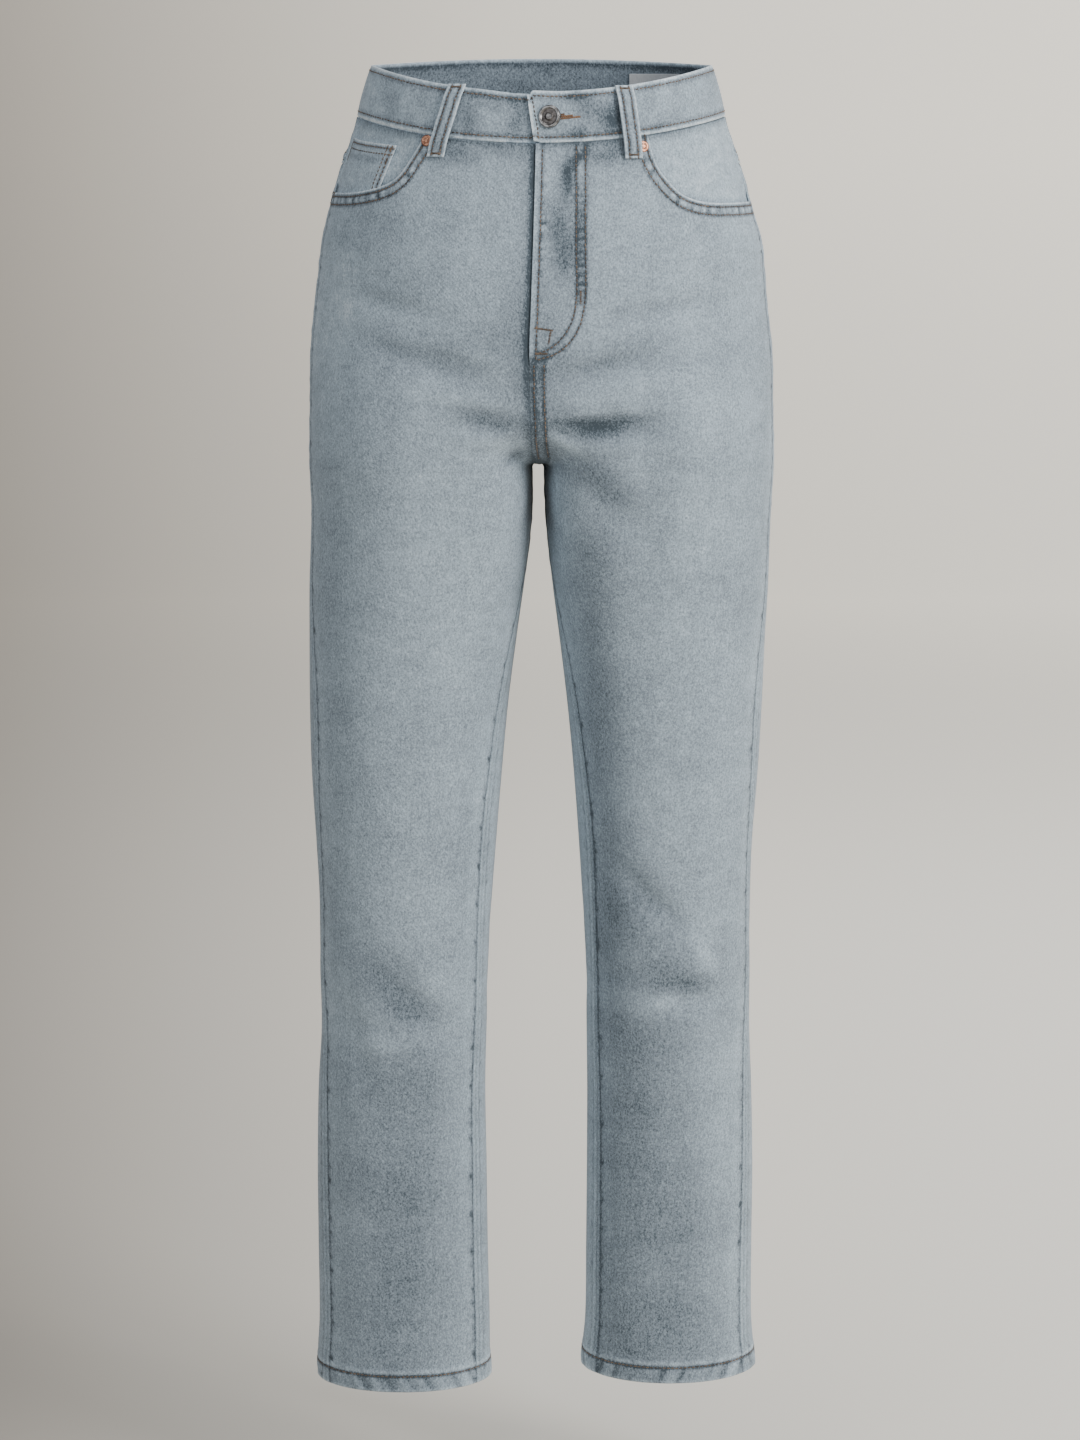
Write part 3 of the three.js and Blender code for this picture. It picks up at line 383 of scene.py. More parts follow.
# one end, other end, half width, painted shade where above zero and painted highlight where below:
# shade in creases, round the knees, under the band and loops, beside the fly, round the crotch and
# down the lower legs
STROKES = {
    "front": [
        ((35, -33), (20, -45), 3.5, 0.7), ((21, -40), (19, -68), 4.5, 0.85),
        ((15, -66), (15, -120), 9, 0.7), ((70, -560), (100, -625), 14, 0.3),
        ((20, -100), (18, -128), 7, 0.32), ((8, -40), (7, -64), 4.5, -0.2),
        ((28, -37), (68, -38), 8, 0.55), ((-76, -40), (-46, -37), 8, 0.48),
        ((-93, -23), (-87, -29), 4.5, 0.3), ((78, -38), (94, -42), 6, 0.2),
        ((-44, -34), (-14, -36), 5, 0.3), ((-156, -133), (-84, -150), 8, 0.2),
        ((-122, -172), (-44, -200), 10, 0.3), ((-62, -229), (-12, -236), 7, 0.44),
        ((-27, -263), (-13, -257), 5, 0.45), ((44, -156), (130, -140), 8, 0.16),
        ((3, -198), (90, -178), 14, 0.34), ((8, -236), (72, -235), 9, 0.95),
        ((18, -262), (72, -291), 14, 0.52), ((9, -239), (27, -257), 3.5, -0.36),
        ((-104, -207), (-58, -216), 7, -0.16), ((-52, -246), (-24, -250), 6, -0.18),
        ((-70, -166), (30, -160), 34, 0.15), ((-4, -176), (2, -246), 20, 0.24),
        ((-135, -92), (-140, -170), 22, -0.22), ((6, -269), (-10, -266), 7, 0.8),
        ((2, -246), (13, -266), 4.5, 0.5), ((2, -272), (7, -325), 5, 0.55),
        ((-7, -272), (-12, -325), 5, 0.45), ((0, -46), (-1, -146), 5, 0.14),
        ((-140, -636), (-84, -684), 15, 0.46), ((-124, -672), (-80, -684), 9, 0.3),
        ((-148, -701), (-104, -705), 9, -0.3), ((46, -585), (102, -652), 16, 0.32),
        ((70, -655), (136, -656), 11, 0.36), ((114, -616), (136, -652), 8, -0.28),
        ((66, -674), (112, -669), 9, -0.34), ((140, -670), (142, -700), 10, 0.15),
        ((-108, -690), (-108, -990), 46, 0.45), ((64, -670), (62, -990), 46, 0.46),
        ((110, -790), (122, -1000), 28, 0.2), ((38, -600), (42, -700), 14, 0.2),
        ((36, -300), (50, -660), 18, 0.34), ((-158, -60), (-166, -230), 14, -0.1)],
    "back": [
        ((-60, -262), (-130, -240), 10, 0.32), ((54, -260), (128, -236), 10, 0.3),
        ((-70, -304), (-134, -296), 11, 0.28), ((60, -300), (130, -292), 11, 0.28),
        ((-62, -612), (-136, -634), 12, 0.34), ((56, -606), (132, -624), 12, 0.34),
        ((-70, -660), (-130, -664), 11, 0.26), ((62, -654), (124, -660), 11, 0.26),
        ((-106, -700), (-106, -980), 44, 0.32), ((94, -700), (94, -980), 44, 0.32)],
}
STROKE_SWAY, STROKE_SOFT = 1.6, 34.0
# only narrow strokes below this height dent the cloth, this deep
DENT_WIDTH, DENT_BELOW, DENT_DEPTH = 13, -120, 2.0
# painted highlight, partly ridge wear, above each fine fold, and painted shade in its trough
FOLD_RIDGE_HIGHLIGHT, FOLD_SHADE = 0.08, 0.12
print("folds:", {part: (len(FOLDS[part]), len(FINE_FOLDS[part])) for part in FOLDS},
      "strokes:", {part: len(STROKES[part]) for part in STROKES})

# %% [markdown]
# ### Laying points on the cloth
# Every sheet asks for its points here: a place on the surface, moved by the folds and then
# out by a few tenths of a millimetre for whatever is sewn there. The folds fade out at the
# seams. A stroke is a soft line of painted shade, or of painted highlight, and dents the cloth a
# little. The fine folds also get painted shade in their troughs and a lighter ridge above, partly
# worn and partly painted highlight.

# %% Strokes, folds and paths
def strokes(part, x, z):
    """Painted shade and painted highlight near the strokes of a part, painted shade in the fine
    folds' troughs with a lighter, partly worn ridge above, and how deep their creases are.
    """
    shade, wear, dip = np.zeros((3, *np.shape(z)))
    for (ax, az), (bx, bz), wide, size in STROKES[part]:
        half = math.hypot(bx - ax, bz - az) / 2
        way_x, way_z = (bx - ax) / half / 2, (bz - az) / half / 2
        off_x, off_z = x - (ax + bx) / 2, z - (az + bz) / 2
        along = off_x * way_x + off_z * way_z
        over = off_z * way_x - off_x * way_z + STROKE_SWAY * np.sin(along / 9 + ax)
        soft = min(half, STROKE_SOFT)
        near = bell(over, wide) * bell(np.maximum(np.abs(along) - half + soft, 0), soft)
        # positive strokes add painted shade, negative ones add painted highlight
        shade += max(size, 0) * near
        wear += max(-size, 0) * near
        dip -= size * near * (DENT_DEPTH if wide < DENT_WIDTH and az < DENT_BELOW else 0)
    wear = wear - fold_depth(x, z - 6, FINE_FOLDS[part]) * FOLD_RIDGE_HIGHLIGHT
    return shade - fold_depth(x, z, FINE_FOLDS[part]) * FOLD_SHADE, wear, dip


def fold_depth(x, z, folds):
    total = np.zeros(np.shape(z))
    for fx, fz, slope, reach, width, depth in folds:
        size = math.hypot(1, slope)
        along = ((x - fx) + (z - fz) * slope) / size
        over = ((z - fz) - (x - fx) * slope) / size
        total = total - depth * bell(along, reach) * bell(over, width)
    return total


def lay(side, part, share, z, stand=0.0, fine=True):
    """Points on the folded cloth and their outward directions, stand millimetres out of it."""
    share, z = np.broadcast_arrays(np.asarray(share, float), np.asarray(z, float))
    nudge, lift = 0.006, 0.4
    point = place(side, part, share, z)
    across = (place(side, part, np.minimum(share + nudge, 1), z)
              - place(side, part, np.maximum(share - nudge, 0), z))
    up = place(side, part, share, z + lift) - place(side, part, share, z - lift)
    normal = np.cross(across, up) * (side * (-1 if part == "front" else 1))
    centre = (share > 0.999) & (z > CROTCH_Z - 0.01)
    normal[..., 0] = np.where(centre, 0, normal[..., 0])
    under = centre & (z < CROTCH_Z + 0.01)
    normal = np.where(under[..., None], np.array([0, 0, -1.0]), normal)
    normal /= np.maximum(np.linalg.norm(normal, axis=-1, keepdims=True), 1e-9)
    fade = ease(share / SEAM_FADE) * ease((1 - share) / SEAM_FADE)
    folds = FOLDS[part] + (FINE_FOLDS[part] if fine else [])
    depth = fold_depth(point[..., 0], z, folds)
    return point + normal * (depth * fade + stand)[..., None], normal


def ripple(run, length, seed):
    """A smooth uneven wave between about -1 and 1 along a running length."""
    phases = np.random.default_rng(seed).uniform(0, 2 * np.pi, 4)
    waves = (1.0, 1.37, 0.71, 2.3)
    sizes = (0.5, 0.3, 0.35, 0.18)
    return sum(a * np.sin(2 * np.pi * run * w / length + p)
               for a, w, p in zip(sizes, waves, phases))


def path_distance(points, path):
    """Distance of each point to a path of close points, and how far along the path it is."""
    run = running(path)
    flat = points.reshape(-1, 3)
    far = np.full(len(flat), 999.0)
    along = np.zeros(len(flat))
    low, high = path.min(0) - 30, path.max(0) + 30
    near = np.where(((flat > low) & (flat < high)).all(1))[0]
    for first in range(0, len(near), 4000):
        rows = near[first:first + 4000]
        gaps = np.linalg.norm(flat[rows, None] - path[None], axis=2)
        best = gaps.argmin(1)
        far[rows] = gaps[np.arange(len(rows)), best]
        along[rows] = run[best]
    return far.reshape(points.shape[:-1]), along.reshape(points.shape[:-1])


def dense(corners, step=0.6):
    """Points close together along a smooth line through the given ones."""
    corners = np.asarray(corners, float)
    run = running(corners)
    return table(np.column_stack([run, corners]), np.arange(0, run[-1] + step / 2, step))


crotch, _ = lay(-1, "front", 1.0, CROTCH_Z)
print("crotch point at", crotch.round(1), "mm")

# %% [markdown]
# ## Denim
# Denim is woven from a blue warp over a white weft. Washing and rubbing takes blue away where
# the cloth stands proud: the edges turn white, and the creases beside the seams stay dark.
# The finish mixes six scales of uneven colour, from broad clouds and mottling to the upright
# slubs in the yarn and a fine grain. Two numbers kept on the cloth itself, wear and shade, add
# the white edges and dark creases, and with them painted shade in folds, under the band and down
# the lower legs, and painted highlights on some ridges. The twill is a fine slanting bump.

# %% Node helpers
def new_material(name):
    material = bpy.data.materials.new(name)
    material.use_nodes = True
    tree = material.node_tree
    return material, tree, tree.nodes["Principled BSDF"]


def node(tree, kind, inputs=None, **settings):
    made = tree.nodes.new(kind)
    for key, value in settings.items():
        setattr(made, key, value)
    for key, value in (inputs or {}).items():
        if hasattr(value, "is_output"):
            tree.links.new(value, made.inputs[key])
        else:
            made.inputs[key].default_value = value
    return made


def calc(tree, operation, a, b, c=0.0):
    """One arithmetic step."""
    return node(tree, "ShaderNodeMath", {0: a, 1: b, 2: c}, operation=operation).outputs[0]


def noise(tree, where, scale, detail=2.0, stretch=(1, 1, 1), rough=0.55):
    moved = node(tree, "ShaderNodeMapping", {"Vector": where, "Scale": stretch})
    return node(tree, "ShaderNodeTexNoise", {"Vector": moved.outputs[0], "Scale": scale,
                "Detail": detail, "Roughness": rough}).outputs[0]


def attribute(tree, name):
    return node(tree, "ShaderNodeAttribute", attribute_name=name).outputs["Fac"]


def ramp_color(tree, value, first, last, *between):
    """Colours along a value; each stop is a position and a colour."""
    ramp = node(tree, "ShaderNodeValToRGB", {"Fac": value})
    stops = ramp.color_ramp.elements
    for stop, (position, color) in zip(stops, (first, last)):
        stop.position, stop.color = position, (*color, 1)
    for position, color in between:
        stops.new(position).color = (*color, 1)
    return ramp.outputs[0]


def put_on(tree, surface, color, height, strength, distance=0.0001):
    """Gives a surface its colour and a bump."""
    bump = node(tree, "ShaderNodeBump", {"Height": height, "Strength": strength,
                "Distance": distance})
    tree.links.new(color, surface.inputs["Base Color"])
    tree.links.new(bump.outputs[0], surface.inputs["Normal"])


def settle(tree, surface, **settings):
    """Sets inputs of a surface straight on their sockets, or links what has an output."""
    for key, value in settings.items():
        socket = surface.inputs[key.replace("_", " ")]
        if hasattr(value, "is_output"):
            tree.links.new(value, socket)
        else:
            socket.default_value = value


# %% Denim finish
INDIGO, MID_BLUE = (0.056, 0.077, 0.095), (0.286, 0.347, 0.403)
PALE_BLUE, WORN_WHITE = (0.441, 0.548, 0.628), (0.78, 0.86, 0.90)
TWILL_HEIGHT = 0.00022
# scale, detail, upward stretch, roughness, share of the colour
GRAINS = {"clouds": (9, 3, 2.4, 0.55, 0.30), "mottle": (85, 3, 1.6, 0.6, 0.24),
          "slubs": (520, 2, 0.16, 0.55, 0.20), "short": (760, 2, 0.7, 0.55, 0.82),
          "fine": (1350, 2, 1, 0.7, 0.80), "streaks": (30, 2, 0.22, 0.55, 0.20)}


def denim(name, tint=0.0):
    """Washed denim; tint moves it lighter or darker as a whole."""
    material, tree, surface = new_material(name)
    where = node(tree, "ShaderNodeTexCoord").outputs["Object"]
    grains, total = {}, 0.5 + tint
    for key, (scale, detail, stretch, rough, size) in GRAINS.items():
        grains[key] = noise(tree, where, scale, detail, (1, 1, stretch), rough)
        part = calc(tree, "MULTIPLY_ADD", grains[key], size, -size / 2)
        total = calc(tree, "ADD", part, total)
    mottle, slubs, fine = grains["mottle"], grains["slubs"], grains["fine"]
    broken = calc(tree, "MULTIPLY_ADD", mottle, 0.8, 0.14)
    # wear lightens towards white, for worn edges and for painted highlights; shade darkens towards
    # indigo, for dark seams and for painted shade
    total = calc(tree, "MULTIPLY_ADD", attribute(tree, "wear"), broken, total)
    patchy = calc(tree, "MULTIPLY_ADD", mottle, -0.8, -0.16)
    total = calc(tree, "MULTIPLY_ADD", attribute(tree, "shade"), patchy, total)
    color = ramp_color(tree, total, (0.0, INDIGO), (1.0, WORN_WHITE), (0.42, MID_BLUE),
                       (0.66, PALE_BLUE))
    across = node(tree, "ShaderNodeUVMap", uv_map="UVMap").outputs[0]
    twill = node(tree, "ShaderNodeTexWave", {"Vector": across, "Scale": 190, "Distortion": 1.2,
                 "Detail": 1.0, "Detail Scale": 2.0}, bands_direction="DIAGONAL")
    height = calc(tree, "MULTIPLY_ADD", twill.outputs["Fac"], 0.45,
                  calc(tree, "MULTIPLY_ADD", slubs, 0.6, calc(tree, "MULTIPLY", fine, 0.9)))
    put_on(tree, surface, color, height, 0.55, TWILL_HEIGHT)
    settle(tree, surface, Roughness=calc(tree, "MULTIPLY_ADD", fine, 0.12, 0.82),
           Specular_IOR_Level=0.18, Sheen_Weight=0.12, Sheen_Roughness=0.6)
    return material


DENIM, DENIM_EDGE = denim("denim"), denim("denim_worn_edge", tint=0.28)
print("denim finishes:", DENIM.name, DENIM_EDGE.name)

# %% [markdown]
# ## Cloth pieces
# A sheet is a grid whose points are laid on the surface one by one. A Solidify modifier then
# gives it the cloth's thickness on the inside, and its cut edges the worn finish.

# %% Building cloth
def finish_piece(piece, nodes):
    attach(piece, "root")
    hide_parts(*nodes)
    return piece


def set_numbers(mesh, name, values):
    layer = mesh.attributes.new(name, "FLOAT", "POINT")
    layer.data.foreach_set("value", np.ascontiguousarray(values, dtype=np.float32).ravel())


def set_uv(mesh, uv):
    """Flat places in millimetres, one for each vertex, as the mesh's UV map."""
    corner = np.empty(len(mesh.loops), dtype=np.int32)
    mesh.loops.foreach_get("vertex_index", corner)
    flat = (uv.reshape(-1, 2)[corner] / 1000).astype(np.float32)
    mesh.uv_layers["UVMap"].data.foreach_set("uv", flat.ravel())


def cloth(name, points, outward, nodes, thickness=CLOTH, wear=0.0, shade=0.0,
          thick=None):
    """A sheet of cloth over a grid of points in millimetres, its outer face where they are."""
    rows, columns = points.shape[:2]
    bpy.ops.object.select_all(action="DESELECT")
    bpy.ops.mesh.primitive_grid_add(x_subdivisions=columns - 1, y_subdivisions=rows - 1,
                                    size=1, location=(0, 0, 0))
    piece = bpy.context.object
    piece.name = piece.data.name = name
    mesh = piece.data
    mesh.vertices.foreach_set("co", (points / 1000).astype(np.float32).ravel())
    middle = (rows // 2) * columns + columns // 2
    mesh.update()
    way = outward[rows // 2, columns // 2]
    if Vector(way).dot(mesh.vertices[middle].normal) < 0:
        mesh.flip_normals()
    mesh.uv_layers[0].name = "UVMap"
    set_uv(mesh, np.stack([-edge_runs(points)[1], points[..., 2]], -1))
    for key, values in (("wear", wear), ("shade", shade)):
        set_numbers(mesh, key, np.broadcast_to(values, (rows, columns)))
    mesh.materials.append(DENIM)
    mesh.materials.append(DENIM_EDGE)
    mesh.shade_smooth()
    solidify = piece.modifiers.new("thickness", "SOLIDIFY")
    solidify.offset = -1
    solidify.material_offset_rim = 1
    solidify.thickness = thickness / 1000
    if thick is not None:
        most = float(np.max(thick))
        solidify.thickness = most / 1000
        group = piece.vertex_groups.new(name="thick")
        shares = (thick / most).ravel()
        for value in np.unique(shares.round(3)):
            members = np.where(shares.round(3) == value)[0].tolist()
            group.add(members, float(value), "REPLACE")
        solidify.vertex_group = "thick"
    return finish_piece(piece, nodes)


def measure(points):
    """Longest row, longest column and area of a grid, in metres."""
    across = np.linalg.norm(np.diff(points, axis=1), axis=2).sum(1).max() / 1000
    down = np.linalg.norm(np.diff(points, axis=0), axis=2).sum(0).max() / 1000
    a, b, c, d = points[:-1, :-1], points[1:, :-1], points[1:, 1:], points[:-1, 1:]
    area = (np.linalg.norm(np.cross(b - a, c - a), axis=2).sum()
            + np.linalg.norm(np.cross(c - a, d - a), axis=2).sum()) / 2e6
    return across, down, area


def declare(piece, points):
    """States the piece's flat cut, measured along the folded cloth."""
    across, down, area = measure(points)
    across, down = math.ceil(across * 1000) / 1000, math.ceil(down * 1000) / 1000
    print(f"{piece.name}: {across:.3f} x {down:.3f} m, {area:.4f} m2 flat")

# %% [markdown]
# ## Panels
# Two front and two back panels run from the waistband or yoke to the hem. The hem is turned up
# twice, so it is thicker. Seams lie proud, because the allowances are folded under them, and
# the cloth puckers beside them where the sewing thread has shrunk in the wash. A front panel's
# upper corner is cut away along the scooped pocket mouth.

# %% Rows and columns of the panels
PANELS = {}
HEM_HIGH, HEM_CLOTH = 12.0, 2.6
HEM_HALF, HEM_LIFT = 66, {-1: 2.2, 1: 3.4}


def steps(start, end, size):
    """Heights from start down to end, about size apart, without the last one."""
    count = max(1, int(round((start - end) / size)))
    return start + (end - start) * np.arange(count) / count


def leg_levels(side, first):
    hem = HEM_Z[side]
    arch = CROTCH_Z - ARCH_RADIUS * np.array([0.01, 0.05, 0.13, 0.25, 0.42, 0.62, 0.82, 1.0])
    return np.concatenate([
        steps(first, -225, 2.8), steps(-225, -262, 1.6), steps(-262, -268.8, 0.8),
        [-268.8, -269.0], arch, steps(-274.5, -300, 2.2), steps(-300, hem + 20, 3.7),
        steps(hem + 20, hem, 1.25), [hem]])


def panel_shares(extra=()):
    edge = np.array([0, 0.004, 0.009, 0.014, 0.020, 0.026, 0.033, 0.041, 0.050])
    middle = np.linspace(0.05, 0.95, 77)
    return np.unique(np.concatenate([edge, middle, 1 - edge, *extra]).round(5))


def across_share(side, part, share):
    """How far a column lies from the centre seam to the side, as the waistband's edges see it."""
    z = BAND_LOW["side"]
    x = place(side, part, share, z)[..., 0]
    out = table(OUTLINE, z)[0 if side < 0 else 2]
    seam = float(seam_x(part, z))
    return np.clip(side * (x - seam) / (out - side * seam), 0, 1)


def under_band(side, part, shares):
    """Height of the cloth's edge below the waistband."""
    return band_edge(BAND_LOW, part, across_share(side, part, shares)) - BAND_GAP


def yoke_edge(side, shares):
    """Height of the middle of the seam between the yoke and the back panel."""
    return mix(YOKE_LOW["centre"], YOKE_LOW["side"], across_share(side, "back", shares))


def panel_heights(side, top, block_end, fine_rows):
    """Height of every grid point: rows follow the top edge, then even out."""
    longest = (top - block_end).max()
    near = np.arange(fine_rows) * 1.3
    count = int(round((longest - near[-1]) / 2.5))
    shares = np.concatenate([near, near[-1] + (longest - near[-1])
                             * np.arange(1, count) / count]) / longest
    block = mix(top[None, :], block_end, shares[:, None])
    levels = leg_levels(side, block_end)
    return np.concatenate([block, np.repeat(levels[:, None], len(top), axis=1)])


print("panel grid:", len(panel_shares()), "columns,", len(leg_levels(-1, -120.0)), "leg rows")

# %% [markdown]
# ### Seams and hems
# Beside each seam the cloth first rises and then dips along its hidden sewing. The hem is a
# doubled band, and because its two layers shrank unevenly, it is roped into slanted ridges.

# %% Seams, hems and leg panels
def seam_relief(distance, z, seed, size=1.0):
    """A pressed-open seam: a dip at the seam, a ridge beside it and small puckers."""
    pucker = ripple(z, 17, seed) * bell(distance - 3.6, 2.8) * 0.30
    return size * (0.42 * bell(distance - 3.0, 2.4) - 0.20 * bell(distance, 1.0)
                   - 0.25 * bell(distance - 5.6, 0.8) + pucker)


def seam_colour(distance, z, seed):
    """Wear on the ridge beside a seam, and shade along its hidden sewing and the puckers."""
    wave = ripple(z, 15, seed)
    wear = bell(distance - 2.8, 2.0) * (0.12 + 0.14 * np.maximum(wave, 0)) \
        + 0.10 * bell(distance - 14, 6)
    line = 0.95 * bell(distance - 5.6, 0.9) * (0.8 + 0.2 * np.clip(wave, -1, 1))
    ticks = 1.7 * bell(distance - 7.6, 1.5) * np.maximum(-ripple(z, 10, seed + 9) - 0.30, 0)
    return wear, 0.20 * bell(distance, 1.0) + line + ticks


def leg_seams(runs, z, seed):
    """Relief, wear and shade of a panel's side seam and, below the crotch, its inseam."""
    below = np.where(z < CROTCH_Z, 1.0, 0.0)
    relief = seam_relief(runs[0], z, seed) + below * seam_relief(runs[1], z, seed + 4, 0.8)
    outer, inner = seam_colour(runs[0], z, seed), seam_colour(runs[1], z, seed + 4)
    return relief, outer[0] + below * inner[0], outer[1] + below * inner[1]


def hem_relief(side, z, run):
    """Outward size of the hem: a doubled band, roped into slanted ridges above its edge."""
    up = z - HEM_Z[side]
    band = ease((HEM_HIGH + 1.6 - up) / 1.8)
    twist = ripple(run + up * 0.5, 17, 31 + side)
    groove = -0.45 * bell(up - HEM_HIGH, 0.9) + 0.45 * bell(up - HEM_HIGH - 3.2, 2.0)
    wear = (0.48 * bell(up - HEM_HIGH - 3.0, 1.7) * (0.75 + 0.35 * ripple(run, 21, 35 + side))
            + 0.35 * bell(up, 1.6) + 0.20 * band * np.maximum(twist, 0))
    shade = 0.50 * band * np.maximum(-twist - 0.1, 0) + 0.85 * bell(up - HEM_HIGH, 1.2)
    return 0.6 * band + twist * bell(up - 5.5, 5.5) * 0.70 + groove, wear, shade, band


def hem_curve(side, x, z):
    """The hem is cut a little higher at its sides than at the front."""
    right_out, right_in, left_out, left_in = table(OUTLINE, -965)
    middle = side * ((right_out + right_in) if side < 0 else (left_out + left_in)) / 2
    away = np.clip(np.abs(x - middle) / HEM_HALF, 0, 1)
    return z + HEM_LIFT[side] * away ** 2 * ease((HEM_Z[side] + 60 - z) / 60)


def leg_panel(side, part, points, outward, z, relief, wear, shade):
    """Adds the hem and the strokes of painted shade and highlight, then makes a leg panel's cloth.
    """
    run_side, run_in = edge_runs(points)
    hem, hem_wear, hem_shade, band = hem_relief(side, z, run_side)
    painted_shade, highlight_and_ridge_fade, dip = strokes(part, points[..., 0], z)
    relief = relief + dip * ease(run_side / 12) * ease(run_in / 12)
    relief = relief * (1 - band * 0.7) + hem
    points = points + outward * relief[..., None]
    points[..., 2] = hem_curve(side, points[..., 0], points[..., 2])
    thick = np.where(z - HEM_Z[side] < HEM_HIGH + 0.8, HEM_CLOTH, CLOTH)
    name = side_name(side)
    piece = cloth(f"{part}_panel_{name}", points, outward, [f"{part}_{name}"],
                  wear=np.clip(wear + hem_wear + highlight_and_ridge_fade, 0, 1),
                  shade=np.clip(shade + hem_shade + painted_shade, 0, 1), thick=thick)
    PANELS[side, part] = (piece, points, z)
    declare(piece, points)


# %% [markdown]
# ### Front panels
# The left front carries the folded edge of the fly and the J-shaped rows that hold it. The
# right front lies under it, in its shade. Round each pocket mouth run two sewn rows.

# %% Front panels
FLY_LOW = -187.0
SCOOP_END, ROW_NEAR, ROW_FAR = 156, 3.0, 9.0
J_INNER = [(25.2, -31.5), (25.2, -106.4), (25.2, -142.5), (22.5, -156.9), (15.3, -169.6),
           (6.2, -177.7), (-4.4, -181.6)]
J_OUTER = [(31.9, -31.5), (31.9, -106.4), (31.6, -142.5), (28.0, -160.6), (19.8, -174.1),
           (9.8, -181.9), (-4.4, -186.1)]
J_MIDDLE = 28.5
RISE_ROWS = (3.6, 11.0)


def scoop_share(side):
    """The scooped edge as shares and heights, from the waistband to the side seam."""
    x, z = dense(SCOOPS[side], 0.7).T
    keep = np.abs(x) < SCOOP_END
    share, z = share_at(side, "front", x, z)[keep], z[keep]
    return np.append(share, 0.0), np.append(z, z[-1])


def on_front(side, line, stand=0.0, fine=True):
    """A line given by x and z, laid on the front."""
    line = np.asarray(line, float)
    return lay(side, "front", share_at(side, "front", line[:, 0], line[:, 1]), line[:, 1],
               stand, fine)[0]


def scoop_look(points, side):
    """Relief, wear and shade beside the scooped mouth: two sewn rows and a roped band."""
    far, run = path_distance(points, lay(side, "front", *scoop_share(side))[0])
    wave = ripple(run, 8.5, 5 + side)
    relief = (0.55 * ease((11.5 - far) / 2.0) - 0.4 * bell(far, 0.8)
              - 0.45 * bell(far - ROW_NEAR, 0.9) - 0.45 * bell(far - ROW_FAR, 0.9)
              + 0.36 * wave * bell(far - 6, 2.2))
    wear = 0.60 * ease((1.8 - far) / 1.0) + 0.40 * np.maximum(wave, 0) * bell(far - 6, 2.0)
    shade = (0.85 * bell(far - ROW_NEAR, 1.2) + 0.85 * bell(far - ROW_FAR - 0.3, 1.3)
             + 0.85 * np.maximum(-wave, 0) * bell(far - 6, 2.4))
    return relief, wear, shade


def over_fly(points, z, run_in, rise):
    """The left front's folded fly edge, the seam below it and the J-shaped rows beside it."""
    fly = rise * ease((z - FLY_LOW) / 6)
    seam = rise * (1 - fly)
    knots = ripple(z, 9, 78) * bell(z + 90, 34)
    relief = (fly * 0.95 * ease((9 - run_in) / 7) + seam * 0.5 * bell(run_in - 4, 4)
              + 0.45 * knots * bell(run_in - 7, 2.8))
    wear = (rise * (0.15 + 0.85 * fly) * (0.16 * ease(4.2 - run_in) + 0.26 * bell(run_in, 1.1))
            + 0.55 * np.maximum(knots, 0) * bell(run_in - 7, 2.6))
    shade = (0.60 * np.maximum(-knots, 0) * bell(run_in - 6.4, 2.4)
             + fly * 0.55 * bell(run_in - 5.0, 1.1)
             + seam * (0.80 * bell(run_in - RISE_ROWS[0], 1.2)
                       + 0.80 * bell(run_in - RISE_ROWS[1], 1.2)
                       + 0.3 * bell(run_in, 1.5) + 0.30 * ease((12 - run_in) / 3)))
    for line in (J_INNER, J_OUTER):
        far, _ = path_distance(points, on_front(1, dense(line)))
        relief -= 0.40 * bell(far, 0.9)
        shade += 0.62 * bell(far, 1.3)
    far, run = path_distance(points, on_front(1, dense([(J_MIDDLE, -31), (J_MIDDLE, -146)])))
    knots = ripple(run, 4.6, 77)
    deep = ease((run - 18) / 30) * ease((118 - run) / 8)
    relief += 0.40 * knots * bell(far, 2.4)
    shade += bell(far, 4.2) * (0.55 + 0.50 * np.maximum(-knots, 0)) * deep
    wear += bell(far, 2.6) * 0.35 * np.maximum(knots, 0)
    return relief, wear, shade


def under_fly(z, run_in, rise):
    """The right front is a little sunk behind the fly, and shaded beside it."""
    relief = -rise * ease((z - FLY_LOW) / 6) * 0.25 * ease((6 - run_in) / 6)
    beside = rise * mix(0.40, 1.0, ease((z + 225) / 50))
    return relief, 0.0, beside * (0.95 * bell(run_in, 3.4) + 0.28 * bell(run_in, 10))


def front_panel(side):
    scoop_s, scoop_z = scoop_share(side)
    order = np.argsort(scoop_s)
    start = scoop_s.max()
    extra = [np.linspace(start - 0.16, start + 0.02, 26)]
    if side > 0:
        extra.append(share_at(1, "front", np.linspace(20, 34, 13), np.full(13, -100.0)))
    shares = panel_shares(extra)
    edge = under_band(side, "front", shares)
    top = np.where(shares < start, np.interp(shares, scoop_s[order], scoop_z[order]), edge)
    z = panel_heights(side, np.minimum(top, edge), -120.0, 11)
    points, outward = lay(side, "front", shares[None, :], z)
    runs = edge_runs(points)
    rise = np.where(z < CROTCH_Z, 0.0, 1.0)
    centre = over_fly(points, z, runs[1], rise) if side > 0 else under_fly(z, runs[1], rise)
    relief, wear, shade = (sum(looks) for looks in zip(
        scoop_look(points, side), leg_seams(runs, z, 3 + side), centre))
    # painted shadow under the waistband
    shade = shade + 0.50 * bell(z - edge[None, :], 3.5)
    leg_panel(side, "front", points, outward, z, relief, wear, shade)


for side in (-1, 1):
    front_panel(side)

# %% [markdown]
# ### Back panels and yokes
# The back isn't in the photograph. Such jeans have a V-shaped yoke above two leg panels, and
# their seams are felled: one side is turned over the other and sewn down twice.

# %% Back panels
# distances of the sewn rows from the edges they follow
SEAT_ROWS, YOKE_ROWS, POCKET_ROWS, POCKET_TOP = (2.4, 8.4), (2.5, 8.5), (2.0, 8.0), 12.0


